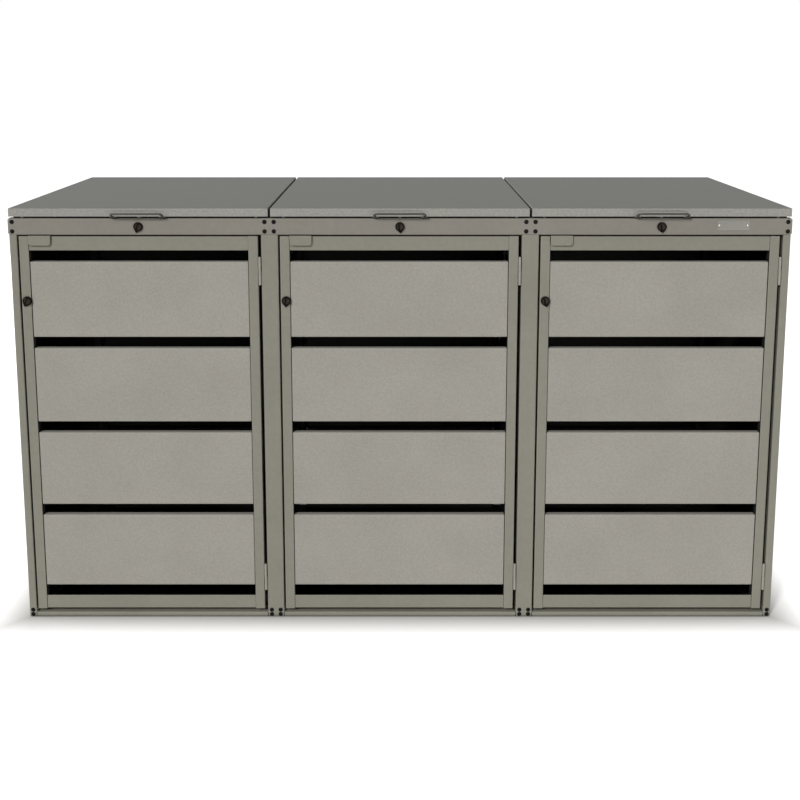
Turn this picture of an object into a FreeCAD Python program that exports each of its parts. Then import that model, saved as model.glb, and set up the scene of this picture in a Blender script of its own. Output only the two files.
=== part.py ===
import FreeCAD, Part
import math
import os

# Triple store for wheeled refuse bins: a bolted sheet-steel frame with three bays side by side.
# Each bay has a door of four folded panels, a hinged lid, a lock for each of them and a lid stay.
# Millimetres. +X to the right, -Y to the front, +Z up. The origin is on the ground, in the middle.

# Driving dimensions of the frame
bays = 3
bay_opening = 647.5          # clear width between two posts
inner_post_face = 46.0       # a post shared by two bays
outer_post_face = 20.75      # a corner post
post_depth = 45.0
body_depth = 815.0           # front face of the header to the back face of the rear rail
door_bottom = 23.0           # height of the door's lower edge above the ground
door_height = 1055.0
door_header_gap = 3.5
header_height = 45.0
header_flange = 20.0
header_return = 25.0         # length of the header's end that is folded back
lid_gap = 4.5                # between the top rails and the lid's skirt
lid_height = 22.3
lid_spacing = 5.5            # between two neighbouring lids
frame_sheet = 2.0            # posts, header, rails
frame_bend = 1.5             # inner radius of a fold in this sheet
sill_height = 12.0
sill_depth = 42.0
tongue_height = 25.0
tongue_reach = 16.5          # how far a sill's tongue slips behind a post's face
end_play = 0.5               # between a rail's end and the post beside it

# Doors
lock_side_gap = 4.2
hinge_side_gap = 8.3
stile_width = 26.0
stile_depth = 25.0
stile_wall = 1.5
door_rail_height = 38.3
door_rail_return = 18.0
panels_per_door = 4
panel_height = 206.0
panel_depth = 18.0
panel_set_back = 2.5         # of panels and door rails behind the stiles
panel_sheet = 1.5
fold_radius = 2.5            # outer radius of a folded panel's edges
tab_width = 58.0
tab_height = 24.5
tab_sheet = 2.0
tab_stand_off = 7.0          # finger space behind the tab
tab_corner = 8.0
tab_lap = 14.0               # of the tab on the rail's top

# Walls
wall_pans = 4
wall_depth = 18.0
wall_joint = 2.0
partition_sheet = 1.5
partition_fold = 15.0
partition_foot = 30.0        # height of its lower edge above the ground
partition_head_gap = 1.0     # from its folded ends to the top rails

# Lids
lid_sheet = 1.5
lid_edge_radius = 3.0
lid_return = 12.0
rib_width = 60.0
rib_height = 16.0
rib_flange = 14.0
rib_end_gap = 25.0
handle_bar_d = 5.5
handle_width = 142.2
handle_reach = 24.0          # from the skirt's face to the middle of the grip bar
handle_rise = 13.0           # of the grip bar above its feet
handle_splay = 3.3           # of each leg, sideways from foot to grip
handle_foot = 4.5            # of the feet in front of the skirt's face
handle_corner = 9.0
handle_tab = 1.5             # sheet of the two tabs under the skirt that the bar is welded to
handle_tab_width = 16.0
handle_tab_depth = 10.0
buffer_play = 0.3            # between a buffer and the closed lid
buffer_d = 7.0
buffer_edge = 1.0            # rounding of its rim
buffer_inset = 34.0
buffer_set_back = 11.5

# Hinges
hinge_barrel_d = 7.0
hinge_pin_d = 4.0
hinge_height = 76.0
hinge_inset = 94.0           # from the door's ends to the middle of a hinge
hinge_set_back = 1.0         # of the pin's axis behind the door's face
hinge_leaf = 2.0
hinge_leaf_depth = 19.0
hinge_edge_gap = 3.9         # from the door's edge to the pin's axis
running_fit = 0.06           # radial clearance of a turning fit
half_gap = 0.6               # between the two halves of a hinge barrel
knuckle_relief = 0.4         # around a lid hinge's knuckle in the other leaf
leaf_edge_gap = 0.5          # from a lid hinge's leaf to the edge beside it
lid_barrel_d = 10.0
lid_pin_d = 6.0
lid_leaf_width = 60.0
lid_leaf_down = 34.0
lid_leaf_up = 19.0
lid_hinge_inset = 95.0       # from the lid's side to the middle of a hinge

# Locks
cap_d = 24.5
cap_thickness = 3.0
barrel_d = 16.0
barrel_clearance = 0.3
nut_across = 22.0
nut_thickness = 3.5
plug_d = 11.0
plug_recess = 1.0            # of the plug's face behind the cap's face
key_slot_width = 2.0
key_slot_length = 7.5
key_slot_depth = 6.0
cam_width = 12.0
cam_length = 32.0
cam_thickness = 2.5
cam_play = 0.8               # between the lock's nut or barrel and the cam
cam_screw_d = 9.0
cam_screw_height = 3.0
flap_pivot_rise = 8.5        # of the dust flap's rivet above the lock's middle
flap_pin_d = 2.4
flap_tail = 17.5             # from the lock's middle to the tip of the flap
flap_gap = 0.3
flap_rivet_head = 1.0        # of its rivet in front of the flap
flap_rivet_root = 1.0        # of its rivet in the cap
flap_thickness = 2.4
flap_crown = 60.0            # radius of the flap's domed front
flap_ridge_width = 1.6
flap_ridge_height = 0.9
door_lock_from_edge = 15.2
door_lock_drop = 175.0        # of the door's lock below the door's upper edge
door_flap_leans = (-26.0, -6.0, 14.0)
lid_flap_leans = (-18.0, 5.0, 8.0)
keeper_slot_play = 1.5
keeper_offset = 20.0         # of the lid's keeper loop beside the lid lock's axis
keeper_sheet = 2.0
keeper_leg = 3.0
keeper_play = 1.5

# Lid stays
stay_reach = 300.0           # from the lid hinge's axis to the stay's rivet, along the lid
stay_drop = 28.75            # of the stay's rivet below the lid hinge's axis
stay_angle = 35.0            # between the rivet and the fixed pin, seen from the lid hinge
lid_opening = 80.0           # angle of the open lid, which the slot's length follows
stay_thickness = 3.0
stay_width = 22.0
stay_pin_d = 8.0
stay_slot_play = 0.3
stay_end = 14.0
stay_plane = 12.0            # from the partition's middle to the stay's middle
stay_rivet_d = 6.0
stay_head_d = 12.0
stay_head = 2.0
lug_sheet = 2.0
lug_width = 26.0
side_play = 0.4              # beside a stay, to the lug, the collar and the heads

# Fasteners and name plate
bolt_head_d = 12.0
bolt_head_height = 3.3
bolt_d = 6.0
bolt_length = 14.0
bolt_hole_play = 0.3
bolt_socket_d = 4.6
bolt_socket_depth = 1.8
nut_flats = 10.0
nut_height = 5.0
side_bolt_inset = 36.0       # of the side rails' bolts from the front and back faces
bolt_spacing = 24.5          # across a shared post
header_bolt_rows = 25.4
foot_bolt_low = 6.3
foot_bolt_rows = 12.7
plate_end = 5.35             # from a rivet's middle to the plate's end
plate_height = 26.5
plate_thickness = 1.0
plate_corner = 3.0
plate_post_gap = 90.85       # from the plate to the corner post at its right
plate_rise = 3.0             # of the plate above the header's middle
rivet_spacing = 75.3
rivet_d = 6.0
rivet_height = 1.8
anchor_hole_d = 9.0
anchor_inset = 150.0         # of the ground anchor holes from the front and back faces
anchor_side_inset = 25.2     # of the ground anchor holes from the outer edge

# How far a cutting shape runs past the piece that it cuts
overrun = 1.0

# Places that follow from the driving dimensions
bay_pitch = bay_opening + inner_post_face
opening_half = bay_opening / 2
outer_edge = bays * bay_pitch / 2 - inner_post_face / 2 + outer_post_face
reach_front = handle_reach + handle_bar_d / 2
reach_back = frame_sheet / 4 + lid_barrel_d
front = reach_front - (reach_front + body_depth + reach_back) / 2
back = front + body_depth
face = front + frame_sheet
rear_face = back - frame_sheet
door_top = door_bottom + door_height
door_lock_height = door_top - door_lock_drop
header_low = door_top + door_header_gap
header_top = header_low + header_height
header_middle = header_low + header_height / 2
lid_low = header_top + lid_gap
lid_top = lid_low + lid_height
post_top = header_top - frame_sheet - frame_bend
lid_width = bay_pitch - lid_spacing
door_width = bay_opening - lock_side_gap - hinge_side_gap
window_width = door_width - 2 * stile_width
window_height = door_height - 2 * door_rail_height
slot_height = (window_height - panels_per_door * panel_height) / (panels_per_door + 1)
panel_front = face + panel_set_back
bay_middles = [(n - (bays - 1) / 2) * bay_pitch for n in range(bays)]
post_spans = [(-outer_edge, -outer_edge + outer_post_face)]
for middle in bay_middles[:-1]:
    post_spans.append((middle + opening_half, middle + opening_half + inner_post_face))
post_spans.append((outer_edge - outer_post_face, outer_edge))
bolt_from_edge = (inner_post_face - bolt_spacing) / 2
plate_width = rivet_spacing + 2 * plate_end
plate_middle = post_spans[-1][0] - plate_post_gap - plate_width / 2
hinge_y = face + hinge_set_back
lid_hinge_y = back + reach_back - lid_barrel_d / 2
lid_hinge_z = lid_low - lid_gap / 2


def vec(x, y, z):
    """A point or direction."""
    return FreeCAD.Vector(x, y, z)


def block(x0, x1, y0, y1, z0, z1):
    """A box between two limits on each axis."""
    return Part.makeBox(x1 - x0, y1 - y0, z1 - z0, vec(x0, y0, z0))


def rod(x, y, z, radius, length, direction):
    """A cylinder from a point along a direction."""
    return Part.makeCylinder(radius, length, vec(x, y, z), direction)


def fuse(shapes):
    """One shape made of several that touch."""
    shapes = list(shapes)
    return shapes[0].multiFuse(shapes[1:]).removeSplitter() if len(shapes) > 1 else shapes[0]


def group(shapes):
    """Separate solids kept in one sub-part."""
    return Part.makeCompound([solid for shape in shapes for solid in shape.Solids])


def rounded(shape, radius, chosen):
    """The shape with the edges that pass the test rounded."""
    edges = [edge for edge in shape.Edges if chosen(edge)]
    return shape.makeFillet(radius, edges)


def runs_along(edge, axis):
    """Whether a straight edge lies along the axis, 0 for X, 1 for Y or 2 for Z."""
    ends = [vertex.Point for vertex in edge.Vertexes]
    if len(ends) < 2:
        return False
    gap = ends[1] - ends[0]
    others = [abs(gap[i]) for i in range(3) if i != axis]
    return max(others) < 1e-6 < abs(gap[axis])


def side_points(points, offset, radii):
    """Line and arc points of one side of a folded sheet: (start, middle, end) at each fold."""
    found = []
    for i in range(1, len(points) - 1):
        before, here, after = points[i - 1], points[i], points[i + 1]
        way_in = ((here[0] - before[0]), (here[1] - before[1]))
        way_out = ((after[0] - here[0]), (after[1] - here[1]))
        size_in, size_out = math.hypot(*way_in), math.hypot(*way_out)
        way_in = (way_in[0] / size_in, way_in[1] / size_in)
        way_out = (way_out[0] / size_out, way_out[1] / size_out)
        turn = math.atan2(way_in[0] * way_out[1] - way_in[1] * way_out[0],
                          way_in[0] * way_out[0] + way_in[1] * way_out[1])
        radius = radii[0] if turn > 0 else radii[1]
        shift = offset * math.tan(turn / 2)
        corner = (here[0] - way_in[1] * offset - way_in[0] * shift,
                  here[1] + way_in[0] * offset - way_in[1] * shift)
        back_off = radius * math.tan(abs(turn) / 2)
        start = (corner[0] - way_in[0] * back_off, corner[1] - way_in[1] * back_off)
        end = (corner[0] + way_out[0] * back_off, corner[1] + way_out[1] * back_off)
        side = 1 if turn > 0 else -1
        centre = (start[0] - way_in[1] * radius * side, start[1] + way_in[0] * radius * side)
        inward = (corner[0] - centre[0], corner[1] - centre[1])
        size = math.hypot(*inward)
        middle = (centre[0] + inward[0] / size * radius, centre[1] + inward[1] / size * radius)
        found.append((start, middle, end))
    return found


def folded(points, sheet, bend, axis, low, high):
    """A sheet folded along a line of points, with round folds, drawn out along an axis.

    The points are (y, z) for axis 0, (x, z) for axis 1 and (x, y) for axis 2. They lie on one face of
    the sheet, and the sheet is on the left of the line, seen with the two axes to the right and up.
    """
    def place(point):
        u, v = point
        return (vec(low, u, v), vec(u, low, v), vec(u, v, low))[axis]

    near = side_points(points, 0.0, (bend + sheet, bend))
    far = side_points(points, sheet, (bend, bend + sheet))

    def square_off(at, towards):
        way = (towards[0] - at[0], towards[1] - at[1])
        size = math.hypot(*way)
        return (at[0] - way[1] / size * sheet, at[1] + way[0] / size * sheet)

    first_far = square_off(points[0], points[1])
    backwards = (2 * points[-1][0] - points[-2][0], 2 * points[-1][1] - points[-2][1])
    last_far = square_off(points[-1], backwards)
    edges, at = [], points[0]
    for start, middle, end in near:
        edges.append(Part.LineSegment(place(at), place(start)).toShape())
        edges.append(Part.Arc(place(start), place(middle), place(end)).toShape())
        at = end
    edges.append(Part.LineSegment(place(at), place(points[-1])).toShape())
    edges.append(Part.LineSegment(place(points[-1]), place(last_far)).toShape())
    at = last_far
    for start, middle, end in reversed(far):
        edges.append(Part.LineSegment(place(at), place(end)).toShape())
        edges.append(Part.Arc(place(end), place(middle), place(start)).toShape())
        at = start
    edges.append(Part.LineSegment(place(at), place(first_far)).toShape())
    edges.append(Part.LineSegment(place(first_far), place(points[0])).toShape())
    along = [0.0, 0.0, 0.0]
    along[axis] = high - low
    return Part.Face(Part.Wire(edges)).extrude(vec(*along))


def pan(x0, x1, y0, y1, z0, z1, sheet, radius, open_side):
    """A folded tray: a box with one side left open and its opposite face's edges rounded.

    open_side is the axis and the sign of the open side, such as (1, 1) for open towards +Y.
    """
    axis, sign = open_side
    lows, highs = [x0, y0, z0], [x1, y1, z1]
    closed_at = lows[axis] if sign > 0 else highs[axis]

    def on_face(edge):
        return all(abs(vertex.Point[axis] - closed_at) < 1e-6 for vertex in edge.Vertexes)

    outside = rounded(block(x0, x1, y0, y1, z0, z1), radius,
                      lambda edge: on_face(edge) or runs_along(edge, axis))
    low = [value + sheet for value in lows]
    high = [value - sheet for value in highs]
    if sign > 0:
        high[axis] = highs[axis] + sheet
    else:
        low[axis] = lows[axis] - sheet
    inner = max(radius - sheet, 0.4)
    inner_closed = low[axis] if sign > 0 else high[axis]

    def on_inner(edge):
        return all(abs(vertex.Point[axis] - inner_closed) < 1e-6 for vertex in edge.Vertexes)

    inside = rounded(block(low[0], high[0], low[1], high[1], low[2], high[2]), inner,
                     lambda edge: on_inner(edge) or runs_along(edge, axis))
    return outside.cut(inside)


def turned(shape, pivot, axis, angle):
    """A copy of the shape, turned about a line."""
    copy = shape.copy()
    copy.rotate(pivot, axis, angle)
    return copy


def mirrored_y(shape):
    """A copy mirrored front to back about the middle of the body's depth."""
    return shape.mirror(vec(0, (front + back) / 2, 0), vec(0, 1, 0))


def mirrored_x(shape, x=0.0):
    """A copy mirrored left to right."""
    return shape.mirror(vec(x, 0, 0), vec(1, 0, 0))


def header_bolt_places():
    """(x, z) of the bolts that hold a top rail to the posts."""
    places = []
    for n, (low, high) in enumerate(post_spans):
        columns = []
        if n > 0:
            columns.append(low + bolt_from_edge)
        if n < len(post_spans) - 1:
            columns.append(high - bolt_from_edge)
        for x in columns:
            for side in (-1, 1):
                places.append((x, header_middle + side * header_bolt_rows / 2))
    return places


def foot_bolt_places():
    """(x, z) of the bolts that hold the sills to the posts."""
    rows = (foot_bolt_low, foot_bolt_low + foot_bolt_rows)
    columns = sorted({x for x, z in header_bolt_places()})
    return [(x, z) for x in columns for z in rows]


def side_bolt_places():
    """(y, z) of the bolts that hold a side rail to its corner posts."""
    rows = (header_middle - header_bolt_rows / 2, header_middle + header_bolt_rows / 2)
    return [(y, z) for y in (front + side_bolt_inset, back - side_bolt_inset) for z in rows]


def side_bolt_holes(side, radius):
    """Holes along X through a side rail and the corner posts' flanges."""
    return [rod(side * (outer_edge - post_depth / 4), y, z, radius, side_hole_reach, vec(side, 0, 0))
            for y, z in side_bolt_places()]


def bolt_holes(places, radius, y, depth):
    """Holes along Y for a set of bolts."""
    return [rod(x, y, z, radius, depth, vec(0, 1, 0)) for x, z in places]


# Frame

def corner_holes(n):
    """The side holes of a corner post; the shared posts have none."""
    side = {0: -1, bays: 1}.get(n)
    return side_bolt_holes(side, bolt_d / 2 + running_fit) if side else []


def front_post(n):
    """A post folded to a U that is open to the back, with its bolt holes and lock slots."""
    low, high = post_spans[n]
    y_open = face + post_depth
    post = folded([(low, y_open), (low, face), (high, face), (high, y_open)],
                  frame_sheet, frame_bend, 2, 0.0, post_top)
    cuts = bolt_holes([place for place in header_bolt_places() + foot_bolt_places()
                       if low < place[0] < high], bolt_d / 2 + running_fit, face - overrun, frame_sheet + 2 * overrun)
    cuts += corner_holes(n)
    notch_y = (face + frame_sheet, face + 2 * frame_sheet + end_play)
    notch_z = (-1.0, tongue_height + 2 * end_play)
    if n > 0:
        cuts.append(block(low - overrun, low + frame_sheet + frame_bend, *notch_y, *notch_z))
    if n < len(post_spans) - 1:
        cuts.append(block(high - frame_sheet - frame_bend, high + overrun, *notch_y, *notch_z))
        slot_y = (door_cam_y - keeper_slot_play, door_cam_y + cam_thickness + keeper_slot_play)
        slot_z = (door_lock_height - cam_length + keeper_slot_play,
                  door_lock_height + cam_width / 2 + keeper_slot_play)
        cuts.append(block(high - frame_sheet - overrun, high + overrun, *slot_y, *slot_z))
    return post.cut(Part.makeCompound(cuts))


def rear_post(n):
    """A rear post, as the front one without lock slots."""
    low, high = post_spans[n]
    y_open = rear_face - post_depth
    post = folded([(high, y_open), (high, rear_face), (low, rear_face), (low, y_open)],
                  frame_sheet, frame_bend, 2, 0.0, post_top)
    cuts = bolt_holes([place for place in header_bolt_places() + foot_bolt_places()
                       if low < place[0] < high], bolt_d / 2 + running_fit,
                      rear_face - frame_sheet - overrun, frame_sheet + 2 * overrun)
    cuts += corner_holes(n)
    notch_y = (rear_face - 2 * frame_sheet - end_play, rear_face - frame_sheet)
    notch_z = (-1.0, tongue_height + 2 * end_play)
    if n > 0:
        cuts.append(block(low - overrun, low + frame_sheet + frame_bend, *notch_y, *notch_z))
    if n < len(post_spans) - 1:
        cuts.append(block(high - frame_sheet - frame_bend, high + overrun, *notch_y, *notch_z))
    return post.cut(Part.makeCompound(cuts))


def cross_rail():
    """A top rail folded to a C, notched where the posts pass its lower flange, with folded-back ends."""
    reach = outer_edge + frame_sheet
    outer_bend = frame_bend + frame_sheet
    rail = folded([(front + header_flange, header_top), (front, header_top),
                   (front, header_low), (front + header_flange, header_low)],
                  frame_sheet, frame_bend, 0, -reach + outer_bend, reach - outer_bend)
    notches = [block(low - end_play, high + end_play, face, face + header_flange,
                     header_low - overrun, header_low + outer_bend) for low, high in post_spans]
    rail = rail.cut(Part.makeCompound(notches))
    end = folded([(reach, front + header_return), (reach, front), (reach - 2 * outer_bend, front)][::-1],
                 frame_sheet, frame_bend, 2, header_low + outer_bend, header_top - outer_bend)
    rail = fuse([rail, end, mirrored_x(end)])
    return rail.cut(Part.makeCompound(bolt_holes(header_bolt_places(), bolt_d / 2 + bolt_hole_play,
                                                 front - overrun, frame_sheet + 2 * overrun)))


def header():
    """The front top rail, with the holes of the lid locks and the name plate."""
    cuts = [rod(x, front - overrun, header_middle, barrel_d / 2 + barrel_clearance,
                frame_sheet + 2 * overrun, vec(0, 1, 0)) for x in bay_middles]
    cuts += [rod(x, front - overrun, header_middle + plate_rise, rivet_d / 4, frame_sheet + 2 * overrun,
                 vec(0, 1, 0))
             for x in rivet_columns]
    return cross_rail().cut(Part.makeCompound(cuts))


def side_rail(side):
    """A top rail over a side wall: a C that is open to the inside."""
    x_out = side * (outer_edge + frame_sheet)
    x_in = side * (outer_edge + frame_sheet - header_flange)
    points = [(x_in, header_low), (x_out, header_low), (x_out, header_top), (x_in, header_top)]
    gap = post_depth + frame_sheet + end_play
    if side < 0:
        points = points[::-1]
    middle = folded(points, frame_sheet, frame_bend, 1, front + gap, back - gap)
    lap = header_return + end_play
    inset = frame_bend + frame_sheet
    x0, x1 = sorted((side * outer_edge, x_out))
    web = block(x0, x1, front + lap, back - lap, header_low + inset, header_top - inset)
    holes = side_bolt_holes(side, bolt_d / 2 + bolt_hole_play)
    return fuse([middle, web]).cut(Part.makeCompound(holes))


def cross_sill(n, at_back):
    """The low rail across one bay, with tongues that slip behind the posts' faces."""
    low = bay_middles[n] - opening_half + end_play
    high = bay_middles[n] + opening_half - end_play
    sill = folded([(face, 0.0), (face, sill_height), (face + sill_depth, sill_height),
                   (face + sill_depth, 0.0)][::-1],
                  frame_sheet, frame_bend, 0, low, high)
    tongues = []
    sill_inside = sill_height - frame_sheet - frame_bend
    for side, edge in ((-1, low - end_play), (1, high + end_play)):
        for reach, top in ((-tongue_reach, sill_inside), (tongue_reach, tongue_height)):
            x0, x1 = sorted((edge, edge + side * reach))
            tongues.append(block(x0, x1, face + frame_sheet, face + 2 * frame_sheet, end_play, top))
    holes = bolt_holes([place for place in foot_bolt_places()
                        if low - inner_post_face / 2 < place[0] < high + inner_post_face / 2],
                       bolt_d / 2 + bolt_hole_play, face, 3 * frame_sheet)
    sill = fuse([sill] + tongues).cut(Part.makeCompound(holes))
    return mirrored_y(sill) if at_back else sill


def side_sill(side):
    """The low rail under a side wall, with two holes for ground anchors."""
    gap = post_depth + frame_sheet + end_play
    x_out, x_in = side * outer_edge, side * (outer_edge - sill_depth)
    points = [(x_out, 0.0), (x_out, sill_height), (x_in, sill_height), (x_in, 0.0)]
    if side < 0:
        points = points[::-1]
    sill = folded(points, frame_sheet, frame_bend, 1, front + gap, back - gap)
    holes = [rod(side * anchor_x, y, -overrun, anchor_hole_d / 2, sill_height + 2 * overrun, vec(0, 0, 1))
             for y in (front + anchor_inset, back - anchor_inset)]
    return sill.cut(Part.makeCompound(holes))


def side_wall(side):
    """Four folded pans, one above the other, between the corner posts."""
    gap = post_depth + frame_sheet + end_play
    x0, x1 = sorted((side * outer_edge, side * (outer_edge - wall_depth)))
    step = (header_low - sill_height) / wall_pans
    pans = []
    for n in range(wall_pans):
        low = sill_height + n * step + wall_joint / 2
        pans.append(pan(x0, x1, front + gap, back - gap, low, low + step - wall_joint,
                        panel_sheet, fold_radius, (0, -side)))
    return group(pans)


def rear_wall(n):
    """Four folded pans that close the back of one bay."""
    x0 = bay_middles[n] - opening_half + end_play
    x1 = bay_middles[n] + opening_half - end_play
    step = (header_low - sill_height) / wall_pans
    pans = []
    for level in range(wall_pans):
        low = sill_height + level * step + wall_joint / 2
        pans.append(pan(x0, x1, rear_face - wall_depth, rear_face, low, low + step - wall_joint,
                        panel_sheet, fold_radius, (1, -1)))
    return group(pans)


def partition(x):
    """The sheet between two bays, folded at both ends behind the posts' faces."""
    half = partition_sheet / 2
    y0, y1 = face + frame_sheet, rear_face - frame_sheet
    middle = folded([(x + partition_fold, y0), (x - half, y0), (x - half, y1), (x + partition_fold, y1)][::-1],
                    partition_sheet, frame_bend, 2, partition_foot,
                    header_low - partition_head_gap)
    upper = block(x - half, x + half, face + post_depth + end_play, rear_face - post_depth - end_play,
                  header_low - 2 * partition_head_gap, post_top)
    return fuse([middle, upper])


def hexagon(across, y, depth):
    """A hexagonal prism along Y, centred on the Y axis."""
    radius = across / math.sqrt(3)
    corners = [vec(radius * math.cos(math.radians(60 * k)), y, radius * math.sin(math.radians(60 * k)))
               for k in range(7)]
    return Part.Face(Part.makePolygon(corners)).extrude(vec(0, depth, 0))


def dome(radius, height):
    """A domed head on the plane y = 0 that rises towards -Y."""
    sphere_r = (radius ** 2 + height ** 2) / (2 * height)
    sphere = Part.makeSphere(sphere_r, vec(0, sphere_r - height, 0))
    return sphere.common(rod(0, -height, 0, radius, height, vec(0, 1, 0)))


def bolt():
    """A dome-head bolt with a hexagon socket. Its head sits on y = 0 and its shank points to +Y."""
    shank = rod(0, -bolt_head_height / 2, 0, bolt_d / 2, bolt_length + bolt_head_height / 2, vec(0, 1, 0))
    socket = hexagon(bolt_socket_d, -bolt_head_height - overrun, bolt_socket_depth + overrun)
    return fuse([dome(bolt_head_d / 2, bolt_head_height), shank]).cut(socket)


def nut():
    """The nut of such a bolt, behind y = 0."""
    return hexagon(nut_flats, 0, nut_height).cut(rod(0, -overrun, 0, bolt_d / 2,
                                                 nut_height + 2 * overrun, vec(0, 1, 0)))


def bolted(shape, lap):
    """Copies of a fastener at every bolt of the frame; lap is its depth behind the bolt head's seat."""
    copies = []
    for places, seat in ((header_bolt_places(), 0.0), (foot_bolt_places(), frame_sheet)):
        for x, z in places:
            copies.append(shape.translated(vec(x, front + seat + lap, z)))
            turned_round = turned(shape, vec(0, 0, 0), vec(0, 0, 1), 180)
            copies.append(turned_round.translated(vec(x, back - seat - lap, z)))
    for side in (-1, 1):
        on_side = turned(shape, vec(0, 0, 0), vec(0, 0, 1), 90 * side)
        for y, z in side_bolt_places():
            copies.append(on_side.translated(vec(side * (outer_edge + frame_sheet - lap), y, z)))
    return group(copies)


def name_plate():
    """The bare plate on the header."""
    z = header_middle + plate_rise
    plate = block(plate_middle - plate_width / 2, plate_middle + plate_width / 2,
                  front - plate_thickness, front, z - plate_height / 2, z + plate_height / 2)
    plate = rounded(plate, plate_corner, lambda edge: runs_along(edge, 1))
    holes = [rod(x, front - plate_thickness - overrun, z, rivet_d / 4, plate_thickness + 2 * overrun, vec(0, 1, 0))
             for x in rivet_columns]
    return plate.cut(Part.makeCompound(holes))


def plate_rivets():
    """The two dome rivets of the plate."""
    length = rivet_height / 2 + plate_thickness + frame_sheet
    shank = rod(0, -rivet_height / 2, 0, rivet_d / 4, length, vec(0, 1, 0))
    rivet = fuse([dome(rivet_d / 2, rivet_height), shank])
    return group([rivet.translated(vec(x, front - plate_thickness, header_middle + plate_rise))
                  for x in rivet_columns])


def lid_buffers():
    """Rubber buffers on the header: three under each lid."""
    buffers = []
    y = front + buffer_set_back
    ends = lid_width / 2 - buffer_inset
    for x in bay_middles:
        for place in (x - ends, x, x + ends):
            pad = rod(place, y, header_top, buffer_d / 2, lid_gap - buffer_play, vec(0, 0, 1))
            buffers.append(rounded(pad, buffer_edge, lambda edge: edge.Vertexes[0].Point.z > header_top + 1))
    return group(buffers)


# Doors

def door_edges(n):
    """The door's left and right edges."""
    left = bay_middles[n] - opening_half + lock_side_gap
    return left, left + door_width


def tube(x0, x1, y0, y1, z0, z1, wall):
    """An upright rectangular tube with rounded long edges."""
    outside = rounded(block(x0, x1, y0, y1, z0, z1), stile_wall + 0.5, lambda edge: runs_along(edge, 2))
    return outside.cut(block(x0 + wall, x1 - wall, y0 + wall, y1 - wall, z0 - overrun, z1 + overrun))


def door_frame(n):
    """Two tube stiles and the two folded rails between them."""
    left, right = door_edges(n)
    stiles = [tube(left, left + stile_width, face, face + stile_depth, door_bottom, door_top, stile_wall),
              tube(right - stile_width, right, face, face + stile_depth, door_bottom, door_top, stile_wall)]
    lock_x = left + door_lock_from_edge
    stiles[0] = stiles[0].cut(rod(lock_x, face - overrun, door_lock_height, barrel_d / 2 + barrel_clearance,
                                  stile_depth + 2 * overrun, vec(0, 1, 0)))
    inner_left, inner_right = left + stile_width, right - stile_width
    y_back = panel_front + door_rail_return
    top = folded([(panel_front, door_top - door_rail_height), (panel_front, door_top),
                  (y_back, door_top)][::-1], panel_sheet, frame_bend, 0, inner_left, inner_right)
    bottom = folded([(panel_front, door_bottom + door_rail_height), (panel_front, door_bottom),
                     (y_back, door_bottom)], panel_sheet, frame_bend, 0, inner_left, inner_right)
    return group(stiles + [top, bottom])


def door_panels(n):
    """Four folded panels with open slots between them."""
    left, right = door_edges(n)
    low = door_bottom + door_rail_height + slot_height
    pans = []
    for level in range(panels_per_door):
        z = low + level * (panel_height + slot_height)
        pans.append(pan(left + stile_width, right - stile_width, panel_front, panel_front + panel_depth,
                        z, z + panel_height, panel_sheet, fold_radius, (1, 1)))
    return group(pans)


def door_pull_tab(n):
    """A lip that hangs in front of the door's top rail, folded over the rail's top."""
    x0 = door_edges(n)[0] + stile_width + end_play
    x1 = x0 + tab_width
    y_front = panel_front - tab_stand_off
    low = door_top - tab_height
    lip = folded([(panel_front + tab_lap, door_top + tab_sheet), (y_front, door_top + tab_sheet),
                  (y_front, low)], tab_sheet, frame_bend, 0, x0, x1)
    return rounded(lip, tab_corner, lambda edge: runs_along(edge, 1) and edge.Vertexes[0].Point.z < low + 1)


# Door hinges

def hinge_levels():
    """The middle heights of the door's hinges."""
    return (door_bottom + hinge_inset, door_top - hinge_inset)


def hinge_axis_x(n):
    """Where the door's hinge axis stands."""
    return door_edges(n)[1] + hinge_edge_gap


def door_hinge_half(n, level, moving):
    """Half a lift-off hinge: a barrel and the leaf that holds it to the door or to the post."""
    x = hinge_axis_x(n)
    half = (hinge_height - half_gap) / 2
    low = level + half_gap / 2 if moving else level - half_gap / 2 - half
    barrel = rod(x, hinge_y, low, hinge_barrel_d / 2, half, vec(0, 0, 1))
    if moving:
        x0 = door_edges(n)[1]
        x1 = x0 + hinge_leaf
    else:
        x1 = bay_middles[n] + opening_half
        x0 = x1 - hinge_leaf
    leaf = block(x0, x1, hinge_y, hinge_y + hinge_leaf_depth, low, low + half)
    inner, outer = sorted((x, x0 if moving else x1))
    bridge = block(inner, outer, hinge_y, hinge_y + hinge_barrel_d / 2, low, low + half)
    bore_r = hinge_pin_d / 2 + (running_fit if moving else 0.0)
    bore_top = low + half - hinge_leaf if moving else low + half
    bore = rod(x, hinge_y, low - 1 if moving else low + hinge_leaf, bore_r,
               bore_top - low + 1 if moving else half, vec(0, 0, 1))
    return fuse([barrel, leaf, bridge]).cut(bore)


def door_hinge_leaves(n):
    """The hinge halves on one door."""
    return group([door_hinge_half(n, level, True) for level in hinge_levels()])


def door_hinge_pins():
    """The hinge halves on the posts, each with its pin pressed in."""
    parts = []
    half = (hinge_height - half_gap) / 2
    for n in range(bays):
        for level in hinge_levels():
            parts.append(door_hinge_half(n, level, False))
            low = level - half_gap / 2 - half + hinge_leaf
            top = level + half_gap / 2 + half - hinge_leaf - half_gap
            parts.append(rod(hinge_axis_x(n), hinge_y, low, hinge_pin_d / 2, top - low, vec(0, 0, 1)))
    return group(parts)


# Lids

def lid_edges(n):
    """The lid's left and right edges."""
    return bay_middles[n] - lid_width / 2, bay_middles[n] + lid_width / 2


def stay_side(n):
    """The side of a bay where its partition carries the lid stay: 1 for right, -1 for left."""
    return 1 if n < bays - 1 else -1


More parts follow.
